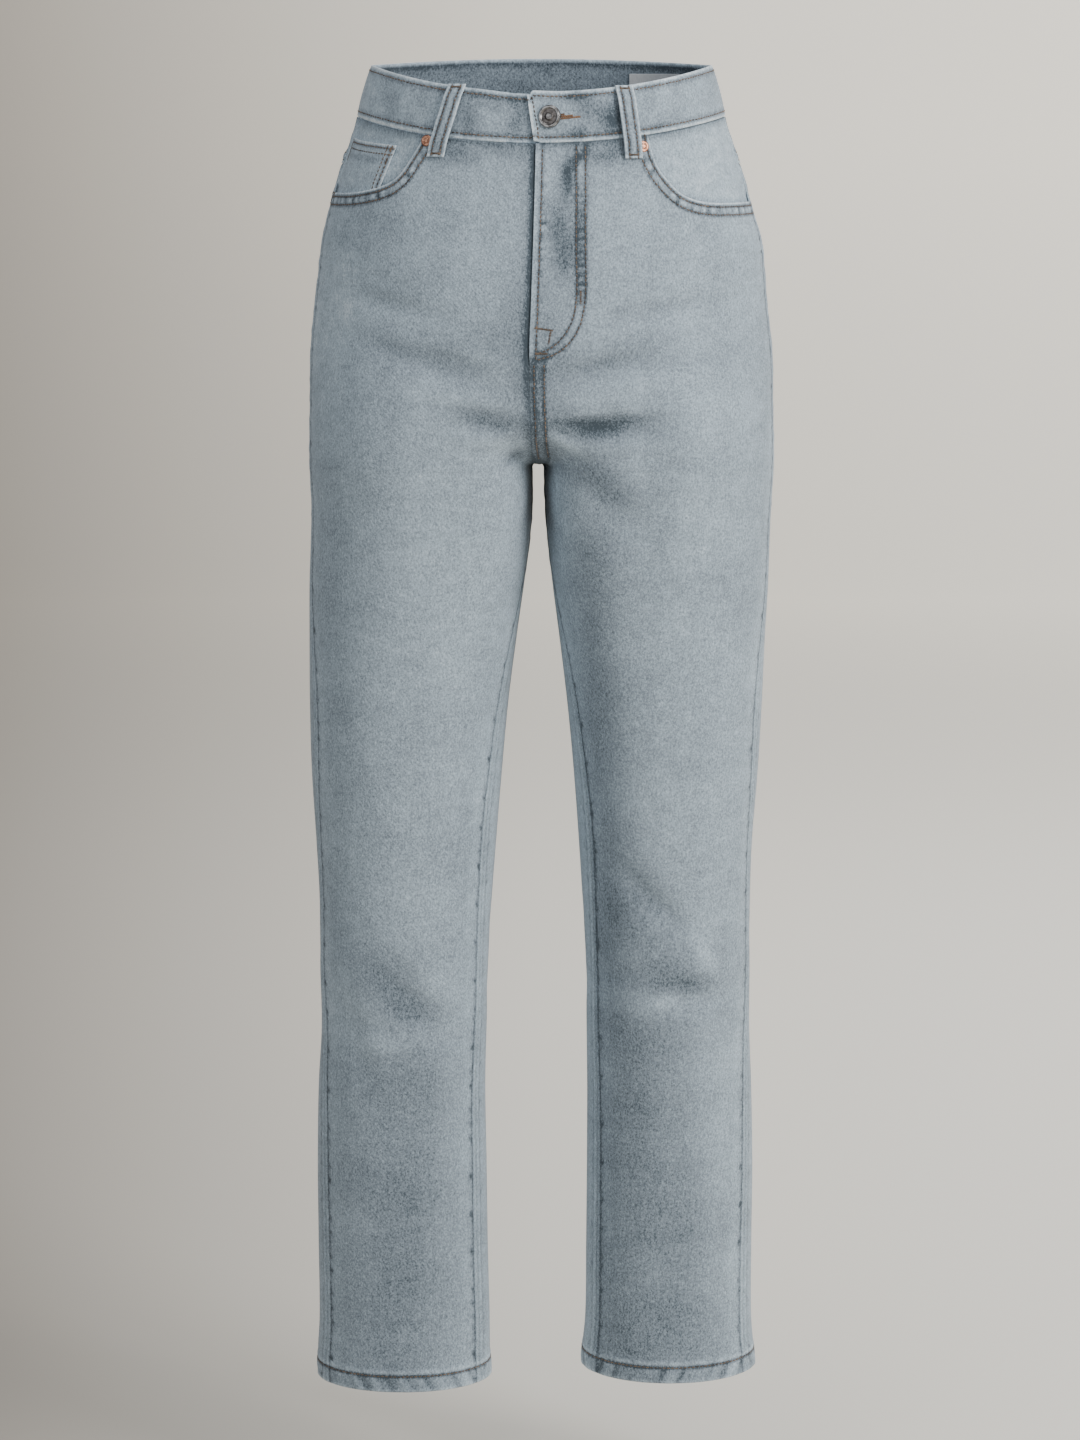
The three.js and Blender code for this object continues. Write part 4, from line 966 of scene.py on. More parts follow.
def back_panel(side):
    shares = panel_shares()
    top = yoke_edge(side, shares) - GAP / 2
    z = panel_heights(side, top, -150.0, 8)
    points, outward = lay(side, "back", shares[None, :], z)
    runs = edge_runs(points)
    relief, wear, shade = leg_seams(runs, z, 13 + side)
    from_top, rise = top[None, :] - z, np.where(z < CROTCH_Z, 0.0, 1.0)
    relief += rise * 0.5 * bell(runs[1] - 4.5, 4.2) - 0.35 * bell(from_top, 0.9)
    wear += rise * 0.5 * bell(runs[1], 1.5)
    shade = 0.45 * shade + 0.35 * bell(from_top, 1.6) + rise * 0.30 * bell(runs[1] - 9, 1.6)
    leg_panel(side, "back", points, outward, z, relief, wear, shade)


for side in (-1, 1):
    back_panel(side)

# %% Yokes
YOKES = {}


def yoke(side):
    shares = panel_shares()
    top, low = under_band(side, "back", shares), yoke_edge(side, shares) + GAP / 2
    z = mix(top[None, :], low[None, :], np.linspace(0, 1, 30)[:, None])
    points, outward = lay(side, "back", shares[None, :], z)
    run_side, run_in = edge_runs(points)
    from_low = z - low[None, :]
    wave = ripple(run_side, 9, 41 + side)
    relief = (0.55 * ease((11 - from_low) / 2) - 0.35 * bell(from_low - YOKE_ROWS[0], 0.9)
              - 0.35 * bell(from_low - YOKE_ROWS[1], 0.9)
              + 0.3 * wave * bell(from_low - 5.5, 2))
    relief += seam_relief(run_side, z, 43 + side) + 0.45 * bell(run_in - 4.5, 4.2)
    wear = 0.6 * bell(from_low, 1.4) + 0.5 * bell(run_in, 1.5)
    # the second term is painted shadow under the waistband
    shade = 0.35 * bell(from_low - 9.5, 1.5) + 0.40 * bell(top[None, :] - z, 3.0)
    points = points + outward * relief[..., None]
    name = side_name(side)
    piece = cloth(f"yoke_cloth_{name}", points, outward, [f"yoke_{name}"],
                  wear=np.clip(wear, 0, 1), shade=np.clip(shade, 0, 1))
    YOKES[side] = (piece, points)
    declare(piece, points)


for side in (-1, 1):
    yoke(side)

# %% [markdown]
# ## Waistband
# The band is one long strip, folded double, which closes the top of the jeans. Its left end
# laps over its right end at the front and carries the buttonhole. The strip is swept round the
# hips as a rounded section, because its folded edges are thick and soft.

# %% The hip ring
def ring(angle, z):
    """A point round the hips: angle 0 is the front centre, negative to the wearer's right."""
    angle, z = np.broadcast_arrays(np.asarray(angle, float), np.asarray(z, float))
    turned = np.arctan2(np.sin(angle), np.cos(angle))
    side = np.where(turned < 0, -1, 1)
    front_half = np.abs(turned) < np.pi / 2
    edges, shape = table(OUTLINE, z), table(PROFILE, z)
    seam = np.where(front_half, seam_x("front", z), CROTCH_X)
    out = np.where(side < 0, edges[..., 0], edges[..., 2])
    spread = np.abs(np.sin(turned)) ** (2 / BODY_POWER)
    depth = np.abs(np.cos(turned)) ** (2 / BODY_POWER)
    y = np.where(front_half, WIDEST_Y - (WIDEST_Y - shape[..., 0]) * depth,
                 WIDEST_Y + (shape[..., 1] - WIDEST_Y) * depth)
    return np.stack([seam + side * (out - side * seam) * spread, y, z], -1)


def ring_frame(angle, z):
    point = ring(angle, z)
    across = ring(np.asarray(angle) + 0.01, z) - ring(np.asarray(angle) - 0.01, z)
    up = ring(angle, np.asarray(z) + 0.4) - ring(angle, np.asarray(z) - 0.4)
    normal = np.cross(across, up)
    return point, normal / np.linalg.norm(normal, axis=-1, keepdims=True)


def ring_angle(part, x, z):
    seam = float(seam_x(part, z))
    side = -1 if x < seam else 1
    out = table(OUTLINE, z)[0 if side < 0 else 2]
    spread = np.clip(side * (x - seam) / (out - side * seam), 0, 1)
    angle = math.asin(spread ** (BODY_POWER / 2))
    return side * (angle if part == "front" else math.pi - angle)


print("hip ring at the waist:", np.ptp(ring(np.linspace(0, 6.28, 90), 0.0), axis=0).round(1), "mm")

# %% Swept strips
def rounded_section(steps_side, steps_round):
    """Round a strip's section: share of the height and of the thickness, and edge nearness."""
    up = np.linspace(0, 1, steps_side)
    bend = np.linspace(0, np.pi, steps_round + 2)[1:-1]
    height = np.concatenate([up, np.ones(steps_round), up[::-1], np.zeros(steps_round)])
    depth = np.concatenate([np.zeros(steps_side), (1 - np.cos(bend)) / 2,
                            np.ones(steps_side), (1 + np.cos(bend)) / 2])
    bulge = np.concatenate([np.zeros(steps_side), np.sin(bend), np.zeros(steps_side),
                            -np.sin(bend)])
    return height, depth, bulge


def swept(name, points, nodes, wear, shade, uv):
    """A closed strip from rings of points: quads between the rings, and a cap at each end."""
    count, around = points.shape[:2]
    i, j = np.meshgrid(np.arange(count - 1), np.arange(around), indexing="ij")
    a = i * around + j
    b = i * around + (j + 1) % around
    faces = np.stack([a, b, b + around, a + around], -1).reshape(-1, 4).tolist()
    faces.append(list(range(around))[::-1])
    faces.append(list(range((count - 1) * around, count * around)))
    mesh = bpy.data.meshes.new(name)
    mesh.from_pydata((points.reshape(-1, 3) / 1000).tolist(), [], faces)
    mesh.uv_layers.new(name="UVMap")
    set_uv(mesh, uv)
    set_numbers(mesh, "wear", wear)
    set_numbers(mesh, "shade", shade)
    work = bmesh.new()
    work.from_mesh(mesh)
    bmesh.ops.recalc_face_normals(work, faces=work.faces)
    work.to_mesh(mesh)
    work.free()
    mesh.materials.append(DENIM)
    mesh.shade_smooth()
    return finish_piece(add_object(name, mesh), nodes)


print("strip section:", len(rounded_section(17, 5)[0]), "points")

# %% Waistband
UNDER_END, SINK_FROM, SINK_TO = 0.2, -0.15, -0.075
END_LOW, END_HIGH = 0.006, 0.036
OVER_RISE, UNDER_DROP, BAND_ROWS, BAND_ROUND = 0.9, 1.2, 17, 1.1


def band_stations():
    start = [UNDER_END - 0.0015 * k for k in range(3)]
    middle = np.linspace(UNDER_END - 0.006, -2 * np.pi + 0.04, 380)
    end = np.linspace(-2 * np.pi + 0.035, -2 * np.pi - 0.004, 12)
    tip = -2 * np.pi - np.array([0.0052, 0.006])
    return np.concatenate([start, middle, end, tip])


# x, z, half width, half height, shade: darker indigo patches beside the loops and the buttonhole,
# and painted shade beside the band's lapping end
BAND_TONES = [
    (50, -12, 9, 13, 0.80), (34, -4, 10, 12, 0.55), (24, 4, 9, 5, 0.60), (27, -22, 9, 5, 0.60),
    (-53, -12, 8, 14, 0.65), (-40, 2, 9, 6, 0.35), (-86, 2, 5, 9, 0.30), (-74, 12, 8, 6, 0.25),
    (-112, 2, 6, 5, 0.25), (78, 2, 5, 10, 0.30), (98, -8, 8, 6, 0.15), (-22, -18, 8, 5, 0.30),
    (58, -5, 7, 16, 0.45), (-17, -6, 5, 12, 0.40),
]


def band_tone(points):
    return sum(0.85 * size * bell(points[..., 0] - x, wide) * bell(points[..., 2] - z, high)
               for x, z, wide, high, size in BAND_TONES)


def waistband():
    stations = band_stations()
    height, depth, bulge = rounded_section(BAND_ROWS, 5)
    near_end = ease((-2 * np.pi + 0.12 - stations) / 0.12)
    angle = stations[:, None] - (near_end[:, None] * (END_HIGH - END_LOW) * height[None, :])
    front = np.cos(stations) > 0
    across = np.abs(np.sin(stations)) ** (2 / BODY_POWER)
    low, top = (np.where(front, band_edge(edge, "front", across), band_edge(edge, "back", across))
                for edge in (BAND_LOW, BAND_TOP))
    tip = ease((stations + 2 * np.pi - 0.004) / 0.012)
    tip = np.where(stations < -6, tip, 1.0)
    low, top = low + (1 - tip) * 1.0 + BAND_ROUND, top - (1 - tip) * 3.0 - BAND_ROUND
    top = top + OVER_RISE * near_end - UNDER_DROP * ease((stations + 0.30) / 0.22)
    run = running(ring(stations, 0.0))
    z = mix(low[:, None], top[:, None], height[None, :])
    point, outward = ring_frame(angle, z)
    sink = -(BAND_CLOTH + GAP) * ease((stations - SINK_FROM) / (SINK_TO - SINK_FROM))
    from_top, from_low = top[:, None] - z, z - low[:, None]
    waves = ripple(run, 11, 61)[:, None]
    roll = (0.30 * waves * bell(from_low - 3.2, 2.4) + 0.22 * ripple(run, 13, 62)[:, None]
            * bell(from_top - 3.2, 2.4) + 0.35 * ripple(run, 46, 63)[:, None]
            * np.sin(np.pi * height)[None, :])
    seams = -0.40 * bell(from_low - 1.4, 0.8) - 0.40 * bell(from_top - 1.2, 0.8)
    seams = seams + 0.22 * np.sin(np.pi * height)[None, :]
    outside = (depth < 0.3)[None, :]
    stand = (BAND_PROUD + sink)[:, None] - BAND_CLOTH * depth[None, :] \
        + np.where(outside, roll + seams, 0)
    points = point + outward * stand[..., None]
    points[..., 2] += BAND_ROUND * bulge[None, :]
    inner = (depth > 0.7)[None, :]
    edge = np.minimum(from_low, from_top)
    wear = 0.80 * ease((1.9 - edge) / 1.0) * (0.82 + 0.18 * np.clip(waves, -1, 1)) \
        + 0.25 * np.maximum(waves, 0) * bell(from_low - 4, 2)
    end = bell((stations + 2 * np.pi + 0.006) * 130, 1.6)[:, None]
    wear = np.maximum(wear, 0.85 * end)
    # the band is made lighter towards its right end
    wear = wear + np.where(outside, 0.26 * bell(points[..., 0] + 132, 30), 0)
    shade = 0.85 * bell(from_low - 3.2, 1.2) + 0.80 * bell(from_top - 3.2, 1.2)
    # painted shade on the band's inside
    shade = shade + np.where(inner, 0.45, 0.0)
    blotch = ripple(run, 60, 64)[:, None] * ripple(z + run[:, None] * 0.4, 31, 65)
    shade = shade + np.where(outside, 0.30 * np.maximum(blotch, 0), 0.25 * np.maximum(blotch, 0))
    shade = shade + np.where(outside & front[:, None], band_tone(points), 0)
    # painted shade on the under end, beside and beneath the lapping end
    shade += np.where(stations > SINK_FROM + 0.02, 0.15, 0.0)[:, None] * (1 - inner)
    uv = np.stack([np.broadcast_to(run[:, None], z.shape), z], -1)
    piece = swept("waistband_cloth", points, ["waistband"],
                  np.clip(wear, 0, 1), np.clip(shade, 0, 1), uv)
    outside = points[:, :BAND_ROWS].transpose(1, 0, 2)
    declare(piece, outside)
    return piece, outside[::-1]


BAND = waistband()

# %% [markdown]
# ## Behind the pocket mouths and the fly
# A facing of denim shows inside each scooped mouth, with a small coin pocket on the right one.
# The zip and its shield lie behind the folded left edge of the fly, so they don't show.

# %% Facings, coin pocket, zip and shield
FACING_REACH, FACING_LOW, FACING_SUNK = 0.66, -92.0, {-1: 2.9, 1: 1.6}
COIN_LEFT = [(-141.0, -26.2), (-151.5, -60), (-154.5, -76)]
COIN_RIGHT = [(-107.3, -31.3), (-119.0, -60), (-123.0, -76)]
HALF_FRONT = 182.0


def facing(side):
    shares = np.linspace(0, FACING_REACH, 70)
    edge = under_band(side, "front", shares)
    z = mix(edge[None, :], FACING_LOW, np.linspace(0, 1, 44)[:, None])
    points, outward = lay(side, "front", shares[None, :], z)
    run_side, _ = edge_runs(points)
    above = ease((z - SCOOPS[side][-1, 1] - 3) / 6)
    depth = mix(FACING_SUNK[side], 0.25, ease((9 - run_side) / 9) * above)
    points = points - outward * depth[..., None]
    far, _ = path_distance(points, lay(side, "front", *scoop_share(side))[0])
    crease = 0.6 * ripple(z * 0.8 + run_side * 0.5, 23, 71 + side) * bell(far - 14, 12)
    points = points + outward * np.minimum(crease - 0.3, 0)[..., None]
    # painted shadow under the band and under the scoop's edge, and painted shade in the creases;
    # the whole facing is also made lighter
    shade = 0.45 * bell(edge[None, :] - z, 4) + 0.30 * bell(far, 4) \
        + 0.25 * np.maximum(-crease, 0) * above
    name = side_name(side)
    piece = cloth(f"pocket_facing_cloth_{name}", points, outward,
                  [f"pocket_facing_{name}"], wear=0.26, shade=np.clip(shade, 0, 1))
    declare(piece, points)


def between(side, part, left, right, rows, columns):
    """Shares and heights of a patch between two edge lines given by x and z."""
    t = np.linspace(0, 1, rows)
    lines = []
    for line in (left, right):
        line = np.asarray(line, float)
        at = running(line)
        x, z = (np.interp(t, at / at[-1], line[:, k]) for k in (0, 1))
        lines.append((share_at(side, part, x, z), z))
    s = np.linspace(0, 1, columns)[None, :]
    return (mix(lines[0][0][:, None], lines[1][0][:, None], s),
            mix(lines[0][1][:, None], lines[1][1][:, None], s))


for side in (-1, 1):
    facing(side)


def coin_pocket():
    share, z = between(-1, "front", COIN_LEFT, COIN_RIGHT, 40, 34)
    points, outward = lay(-1, "front", share, z, -1.65)
    run_left, run_right = edge_runs(points)
    from_top = np.linalg.norm(points - points[:1], axis=2)
    relief = (-0.3 * bell(from_top - 2.5, 0.9) - 0.3 * bell(from_top - 8, 0.9)
              - 0.3 * bell(run_right - 2.5, 0.9) - 0.3 * bell(run_right - 7, 0.9)
              - 0.3 * bell(run_left - 2.5, 0.9))
    points = points + outward * relief[..., None]
    # the last term makes the whole pocket lighter
    wear = (0.48 * ease((2.1 - from_top) / 1.2) + 0.48 * ease((2.0 - run_right) / 1.2)
            + 0.30 * bell(run_right - 5.6, 1.2) + 0.3 * bell(run_left, 1.2) + 0.20)
    shade = 0.70 * (bell(run_right - 3.3, 1.1) + bell(from_top - 3.1, 1.1)) \
        + 0.30 * bell(from_top - 12.5, 2.6)
    piece = cloth("coin_pocket_cloth", points, outward, ["coin_pocket"],
                  thickness=1.0, wear=np.clip(wear, 0, 1), shade=shade)
    declare(piece, points)
    return piece, points


COIN = coin_pocket()


def fly_sheet(name, node_name, low, reach, depth, thickness):
    """A sheet behind the fly, reach millimetres to either side of the centre seam."""
    rows, halves = np.linspace(0, 1, 60)[:, None], []
    for side in (-1, 1):
        shares = np.linspace(1 - reach / HALF_FRONT, 1, 14)[::-side]
        z = mix(under_band(side, "front", shares)[None, :], low, rows)
        halves.append(lay(side, "front", shares[None, :], z, -depth, fine=False))
    points, outward = (np.concatenate(both, axis=1) for both in zip(*halves))
    piece = cloth(name, points, outward, [node_name], thickness=thickness, shade=0.35)
    declare(piece, points)


fly_sheet("fly_zip_tape", "fly_zip", -178.0, 11.0, 1.65, 0.95)
fly_sheet("fly_shield_cloth", "fly_shield", -190.0, 22.0, 2.95, 1.25)

# %% [markdown]
# ## Back pockets
# Plain patch pockets with a pointed bottom are sewn on each back panel with two rows.

# %% Back pockets
POCKET_IN = np.array([(26, -110), (35, -226), (58.5, -236)])
POCKET_OUT = np.array([(131, -100), (124, -219), (103, -232.5)])
POINT_DEPTH = 11.5


def back_pocket(side):
    left, right = (line * (side, 1) + (CROTCH_X, 0) for line in (POCKET_IN, POCKET_OUT))
    share, z = between(side, "back", left, right, 56, 46)
    down, over = np.linspace(0, 1, 56)[:, None], np.linspace(0, 1, 46)[None, :]
    z = z - POINT_DEPTH * ease((down - 0.80) / 0.20) * (1 - np.abs(2 * over - 1))
    points, outward = lay(side, "back", share, z, 1.7)
    run_a, run_b = edge_runs(points)
    from_top = np.linalg.norm(points - points[:1], axis=2)
    from_low = np.linalg.norm(points - points[-1:], axis=2)
    edge = np.minimum(np.minimum(run_a, run_b), from_low)
    wave = ripple(z + run_a, 9, 91 + side)
    relief = (-0.35 * bell(edge - POCKET_ROWS[0], 0.9) - 0.35 * bell(edge - POCKET_ROWS[1], 0.9)
              - 0.3 * bell(from_top - POCKET_TOP, 1.0) + 0.25 * wave * bell(edge - 5, 2)
              + 0.5 * np.sin(np.pi * np.clip(run_a / (run_a + run_b + 0.01), 0, 1))
              * ease(from_low / 40))
    points = points + outward * relief[..., None]
    wear = 0.7 * bell(edge, 1.3) + 0.7 * bell(from_top, 1.4)
    shade = 0.25 * bell(edge - 5, 1.6) + 0.2 * bell(from_top - 13, 1.5)
    name = side_name(side)
    piece = cloth(f"back_pocket_cloth_{name}", points, outward,
                  [f"back_pocket_{name}"], thickness=1.4, wear=np.clip(wear, 0, 1), shade=shade)
    declare(piece, points)
    return piece, points


BACK_POCKETS = {side: back_pocket(side) for side in (-1, 1)}

# %% [markdown]
# ## Belt loops
# Each loop is a narrow folded strip, sewn to the band's top edge and below its bottom edge. It
# stands off the band between, so that a belt can pass.

# %% Belt loops
# name, part, x and z of the top end, x and z of the low end
LOOPS = [
    ("front_right", "front", -60.5, 12.5, -76.7, -40),
    ("front_left", "front", 59.3, 11.5, 66.7, -41),
    ("back_right", "back", -76, 28.5, -78, -24),
    ("back_centre", "back", -2.6, 30.5, -2.6, -24),
    ("back_left", "back", 70, 28.5, 72, -24),
]
LOOP_HALF, LOOP_CLOTH, LOOP_STAND, LOOP_ROWS, LOOP_ROUND = 6.8, 1.8, 2.4, 11, 0.7


def belt_loop(name, part, top_x, top_z, low_x, low_z):
    t = np.linspace(0, 1, 56)
    height, depth, bulge = rounded_section(LOOP_ROWS, 4)
    points = np.empty((len(t), len(height), 3))
    for row, share in enumerate(t):
        z, x = mix(top_z, low_z, share), mix(top_x, low_x, share)
        middle, out = ring_frame(ring_angle(part, x, z), z)
        along = np.array([-out[1], out[0], 0]) / math.hypot(out[0], out[1])
        stand = (BAND_PROUD + GAP + 0.25
                 + LOOP_STAND * ease(min(share, 1 - share) / 0.22))
        across = (height * 2 - 1) * (LOOP_HALF - LOOP_ROUND) + bulge * LOOP_ROUND
        pinch = -0.28 * bell(np.abs(across) - 3.7, 0.8) + 0.25 * bell(across, 1.8)
        out_by = stand + LOOP_CLOTH * (1 - depth) + np.where(depth < 0.3, pinch, 0)
        points[row] = middle + along * across[:, None] + out * out_by[:, None]
    run = t * math.hypot(top_z - low_z, top_x - low_x)
    across = (height * 2 - 1) * LOOP_HALF
    ends = np.minimum(run, run[-1] - run)
    wear = np.maximum(0.54 * ease((1.6 - LOOP_HALF + np.abs(across)) / 0.9)[None, :],
                      0.55 * ease(1.8 - ends)[:, None])
    shade = np.broadcast_to(0.90 * bell(np.abs(across) - 3.5, 1.1)[None, :], wear.shape)
    uv = np.stack(np.broadcast_arrays(across[None, :], -run[:, None]), -1)
    piece = swept(f"belt_loop_cloth_{name}", points, [f"belt_loop_{name}"],
                  wear, shade, uv)
    declare(piece, points[:, :LOOP_ROWS])
    return piece, points[:, :LOOP_ROWS]


BELT_LOOPS = {row[0]: belt_loop(*row) for row in LOOPS}

# %% [markdown]
# ## Sewing
# Thick brown thread holds the seams, in rows of stitches about three millimetres long. One
# stitch is a small stretched ball, modelled once and copied along each row. The rows lie in
# the grooves that the cloth already has, and the nearest place on the cloth seats each stitch.

# %% Thread
def thread_finish(name, dark, light):
    material, tree, surface = new_material(name)
    where = node(tree, "ShaderNodeTexCoord").outputs["Object"]
    color = ramp_color(tree, noise(tree, where, 160, 3), (0.38, dark), (0.68, light))
    put_on(tree, surface, color, noise(tree, where, 1800, 1), 0.4)
    settle(tree, surface, Roughness=0.62, Sheen_Weight=0.2)
    return material


THREAD = thread_finish("thread", (0.050, 0.036, 0.028), (0.240, 0.160, 0.100))
STITCH_PITCH, STITCH_SIZE, STITCH_DRIFT, STITCH_LIFT = 3.2, (1.45, 0.56, 0.40), 0.09, 0.10
TACK = {"pitch": 2.0, "size": (1.5, 0.40, 0.30)}


def one_stitch():
    """Points and faces of one ball, its poles along the row."""
    bpy.ops.object.select_all(action="DESELECT")
    bpy.ops.mesh.primitive_ico_sphere_add(subdivisions=1, radius=1, location=(0, 0, 0))
    ball = bpy.context.object
    corners = np.array([v.co for v in ball.data.vertices])[:, [2, 0, 1]]
    faces = np.array([f.vertices for f in ball.data.polygons])
    bpy.data.objects.remove(ball)
    return corners, faces


STITCH, STITCH_FACES = one_stitch()
print("one stitch:", len(STITCH), "points and", len(STITCH_FACES), "faces")
TREES = {}


def nearest(piece, spots):
    """The places on a piece nearest to some spots in millimetres, and its directions there."""
    if piece.name not in TREES:
        mesh = piece.data
        TREES[piece.name] = BVHTree.FromPolygons([v.co for v in mesh.vertices],
                                                 [f.vertices for f in mesh.polygons])
    found = [TREES[piece.name].find_nearest(Vector(spot / 1000)) for spot in spots]
    return (np.array([hit[0] for hit in found]) * 1000, np.array([hit[1] for hit in found]))


def grid_row(points, distance, edge):
    """A line on a grid, a distance in from one of its four edges."""
    turned = {"left": points, "right": points[:, ::-1], "top": points.transpose(1, 0, 2),
              "low": points.transpose(1, 0, 2)[:, ::-1]}[edge]
    run, _ = edge_runs(turned)
    j = np.clip((run < distance).sum(1), 1, turned.shape[1] - 1)
    i = np.arange(len(turned))
    t = (distance - run[i, j - 1]) / np.maximum(run[i, j] - run[i, j - 1], 1e-6)
    return mix(turned[i, j - 1], turned[i, j], t[:, None])


def bars(start, end, wide, count):
    """Short lines across the way from start to end, for a bartack."""
    start, end = np.asarray(start, float), np.asarray(end, float)
    way = (end - start) / np.linalg.norm(end - start)
    over = np.array([-way[2], 0, way[0]]) * wide / 2
    return [np.array([spot - over, spot + over])
            for spot in mix(start, end, np.linspace(0, 1, count)[:, None])]


def sew(name, piece, lines, pitch=STITCH_PITCH, size=STITCH_SIZE):
    """Rows of stitches along lines in millimetres, as one joined mesh lying on a piece."""
    spots, ways = [], []
    for line in lines:
        run = running(line)
        step = min(pitch, run[-1])
        at = np.arange(step / 2, run[-1] + 1e-6, step)
        def where(shift):
            return np.column_stack([np.interp(at + shift, run, line[:, k]) for k in range(3)])
        spots.append(where(0))
        ways.append(where(step / 4) - where(-step / 4))
    spots, ways = np.concatenate(spots), np.concatenate(ways)
    seats, ups = nearest(piece, spots)
    ways = ways - ups * (ways * ups).sum(1, keepdims=True)
    ways /= np.maximum(np.linalg.norm(ways, axis=1, keepdims=True), 1e-9)
    overs = np.cross(ups, ways)
    seats = seats + overs * np.random.default_rng(5).normal(0, STITCH_DRIFT, (len(seats), 1))
    length = size[0] * min(1.0, pitch / STITCH_PITCH)
    points = (seats[:, None] + ups[:, None] * (STITCH_LIFT + STITCH[None, :, 2:] * size[2])
              + ways[:, None] * STITCH[None, :, :1] * length
              + overs[:, None] * STITCH[None, :, 1:2] * size[1])
    faces = STITCH_FACES[None] + len(STITCH) * np.arange(len(seats))[:, None, None]
    mesh = bpy.data.meshes.new(name)
    mesh.from_pydata((points.reshape(-1, 3) / 1000).tolist(), [], faces.reshape(-1, 3).tolist())
    mesh.shade_smooth()
    mesh.materials.append(THREAD)
    sewn = add_object(name, mesh)
    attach(sewn, "root")
    print(f"{name}: {len(seats)} stitches")
    return sewn


# %% [markdown]
# ### Rows on the front
# The scooped mouths, the fly's edge, its J-shaped row and the seam below are all sewn twice,
# and short dense bars stop the ends of the fly from tearing.

# %% Sew the panels
# start, end, width and number of threads
FLY_BARTACKS = [((-5.1, -162.7), (8.0, -164.5), 2.0, 20), ((-4.7, -181.4), (4.0, -181.4), 2.0, 14),
                ((6.8, -164), (5.2, -174), 1.8, 14), ((28.5, -136), (28.5, -145), 2.2, 12)]


def sew_front(side):
    piece, points, z = PANELS[side, "front"]
    scoop, outward = lay(side, "front", *scoop_share(side))
    inward = np.cross(np.gradient(scoop, axis=0), outward)
    inward /= np.maximum(np.linalg.norm(inward, axis=1, keepdims=True), 1e-9)
    inward *= np.sign(-inward[len(inward) // 2, 2])
    rows = [scoop + inward * far for far in (ROW_NEAR, ROW_FAR)]
    rows.append(grid_row(points, HEM_HIGH, "low"))
    if side > 0:
        centre = z[:, -1]
        rows.append(grid_row(points, 5.0, "right")[(centre < -33) & (centre > FLY_LOW)])
        below = (centre < FLY_LOW) & (centre > CROTCH_Z + 7)
        rows += [grid_row(points, far, "right")[below] for far in RISE_ROWS]
        rows += [on_front(1, dense(line)) for line in (J_INNER, J_OUTER)]
    sew(f"stitches_front_{side_name(side)}", piece, rows)
    if side > 0:
        tacks = []
        for start, end, wide, count in FLY_BARTACKS:
            tacks += bars(*on_front(1, [start, end]), wide, count)
        sew("bartacks_fly", piece, tacks, **TACK)


for side in (-1, 1):
    sew_front(side)


def sew_back(side):
    piece, points, z = PANELS[side, "back"]
    name = side_name(side)
    rows = [grid_row(points, HEM_HIGH, "low")]
    if side > 0:
        rise = z[:, -1] > CROTCH_Z + 4
        rows += [grid_row(points, far, "right")[rise] for far in SEAT_ROWS]
    sew(f"stitches_back_{name}", piece, rows)
    piece, points = YOKES[side]
    rows = [grid_row(points, far, "low") for far in YOKE_ROWS]
    if side > 0:
        rows += [grid_row(points, far, "right") for far in SEAT_ROWS]
    sew(f"stitches_yoke_{name}", piece, rows)
    piece, points = BACK_POCKETS[side]
    rows = [grid_row(points, POCKET_TOP, "top")]
    for far in POCKET_ROWS:
        rows += [grid_row(points, far, edge) for edge in ("left", "right", "low")]
    sew(f"stitches_back_pocket_{name}", piece, rows)


for side in (-1, 1):
    sew_back(side)

# %% Sew the band, loops and coin pocket
BAND_ROW, BAND_END_ROW, LOOP_ROW, LOOP_TACK, COIN_ROWS = 3.0, 4.0, 2.9, 2.4, (3.0, 7.6)


def sew_band():
    piece, outside = BAND
    rows = [grid_row(outside, BAND_ROW, edge) for edge in ("top", "low")]
    rows.append(grid_row(outside, BAND_END_ROW, "right")[1:-1])
    sew("stitches_band", piece, rows)


def sew_loop(name):
    piece, outside = BELT_LOOPS[name]
    rows = [grid_row(outside, LOOP_ROW, edge) for edge in ("left", "right")]
    sew(f"stitches_loop_{name}", piece, rows, pitch=2.9)
    tacks = []
    for edge in ("top", "low"):
        line = grid_row(outside, LOOP_TACK, edge)
        tacks += bars(line[2], line[-3], 1.7, 18)
    sew(f"bartacks_loop_{name}", piece, tacks, pitch=1.7, size=(1.7, 0.36, 0.30))


def sew_coin():
    piece, points = COIN
    seam = [grid_row(points, far, edge) for edge in ("top", "right") for far in COIN_ROWS]
    sew("stitches_coin_pocket", piece, seam)
    right, left = grid_row(points, 3.4, "right"), grid_row(points, 4.0, "left")
    tacks = (bars(right[2], right[4], 3.0, 7) + bars(right[9], right[12], 2.0, 7)
             + bars(left[1], left[13], 3.4, 18))
    sew("bartacks_coin_pocket", piece, tacks, **TACK)


sew_band()
for row in LOOPS:
    sew_loop(row[0])
sew_coin()

# %% [markdown]
# ### Buttonhole
# The keyhole is cut through the band's left end and worked over with tight orange-brown
# thread. Its round eye lies under the button's shank, so only the slot and part of the eye show.

# %% Buttonhole
BUTTON_X, BUTTON_Z = 6.2, -10.8
EYE_X, TAIL_X, EYE_RADIUS = 9.0, 28.0, 3.6


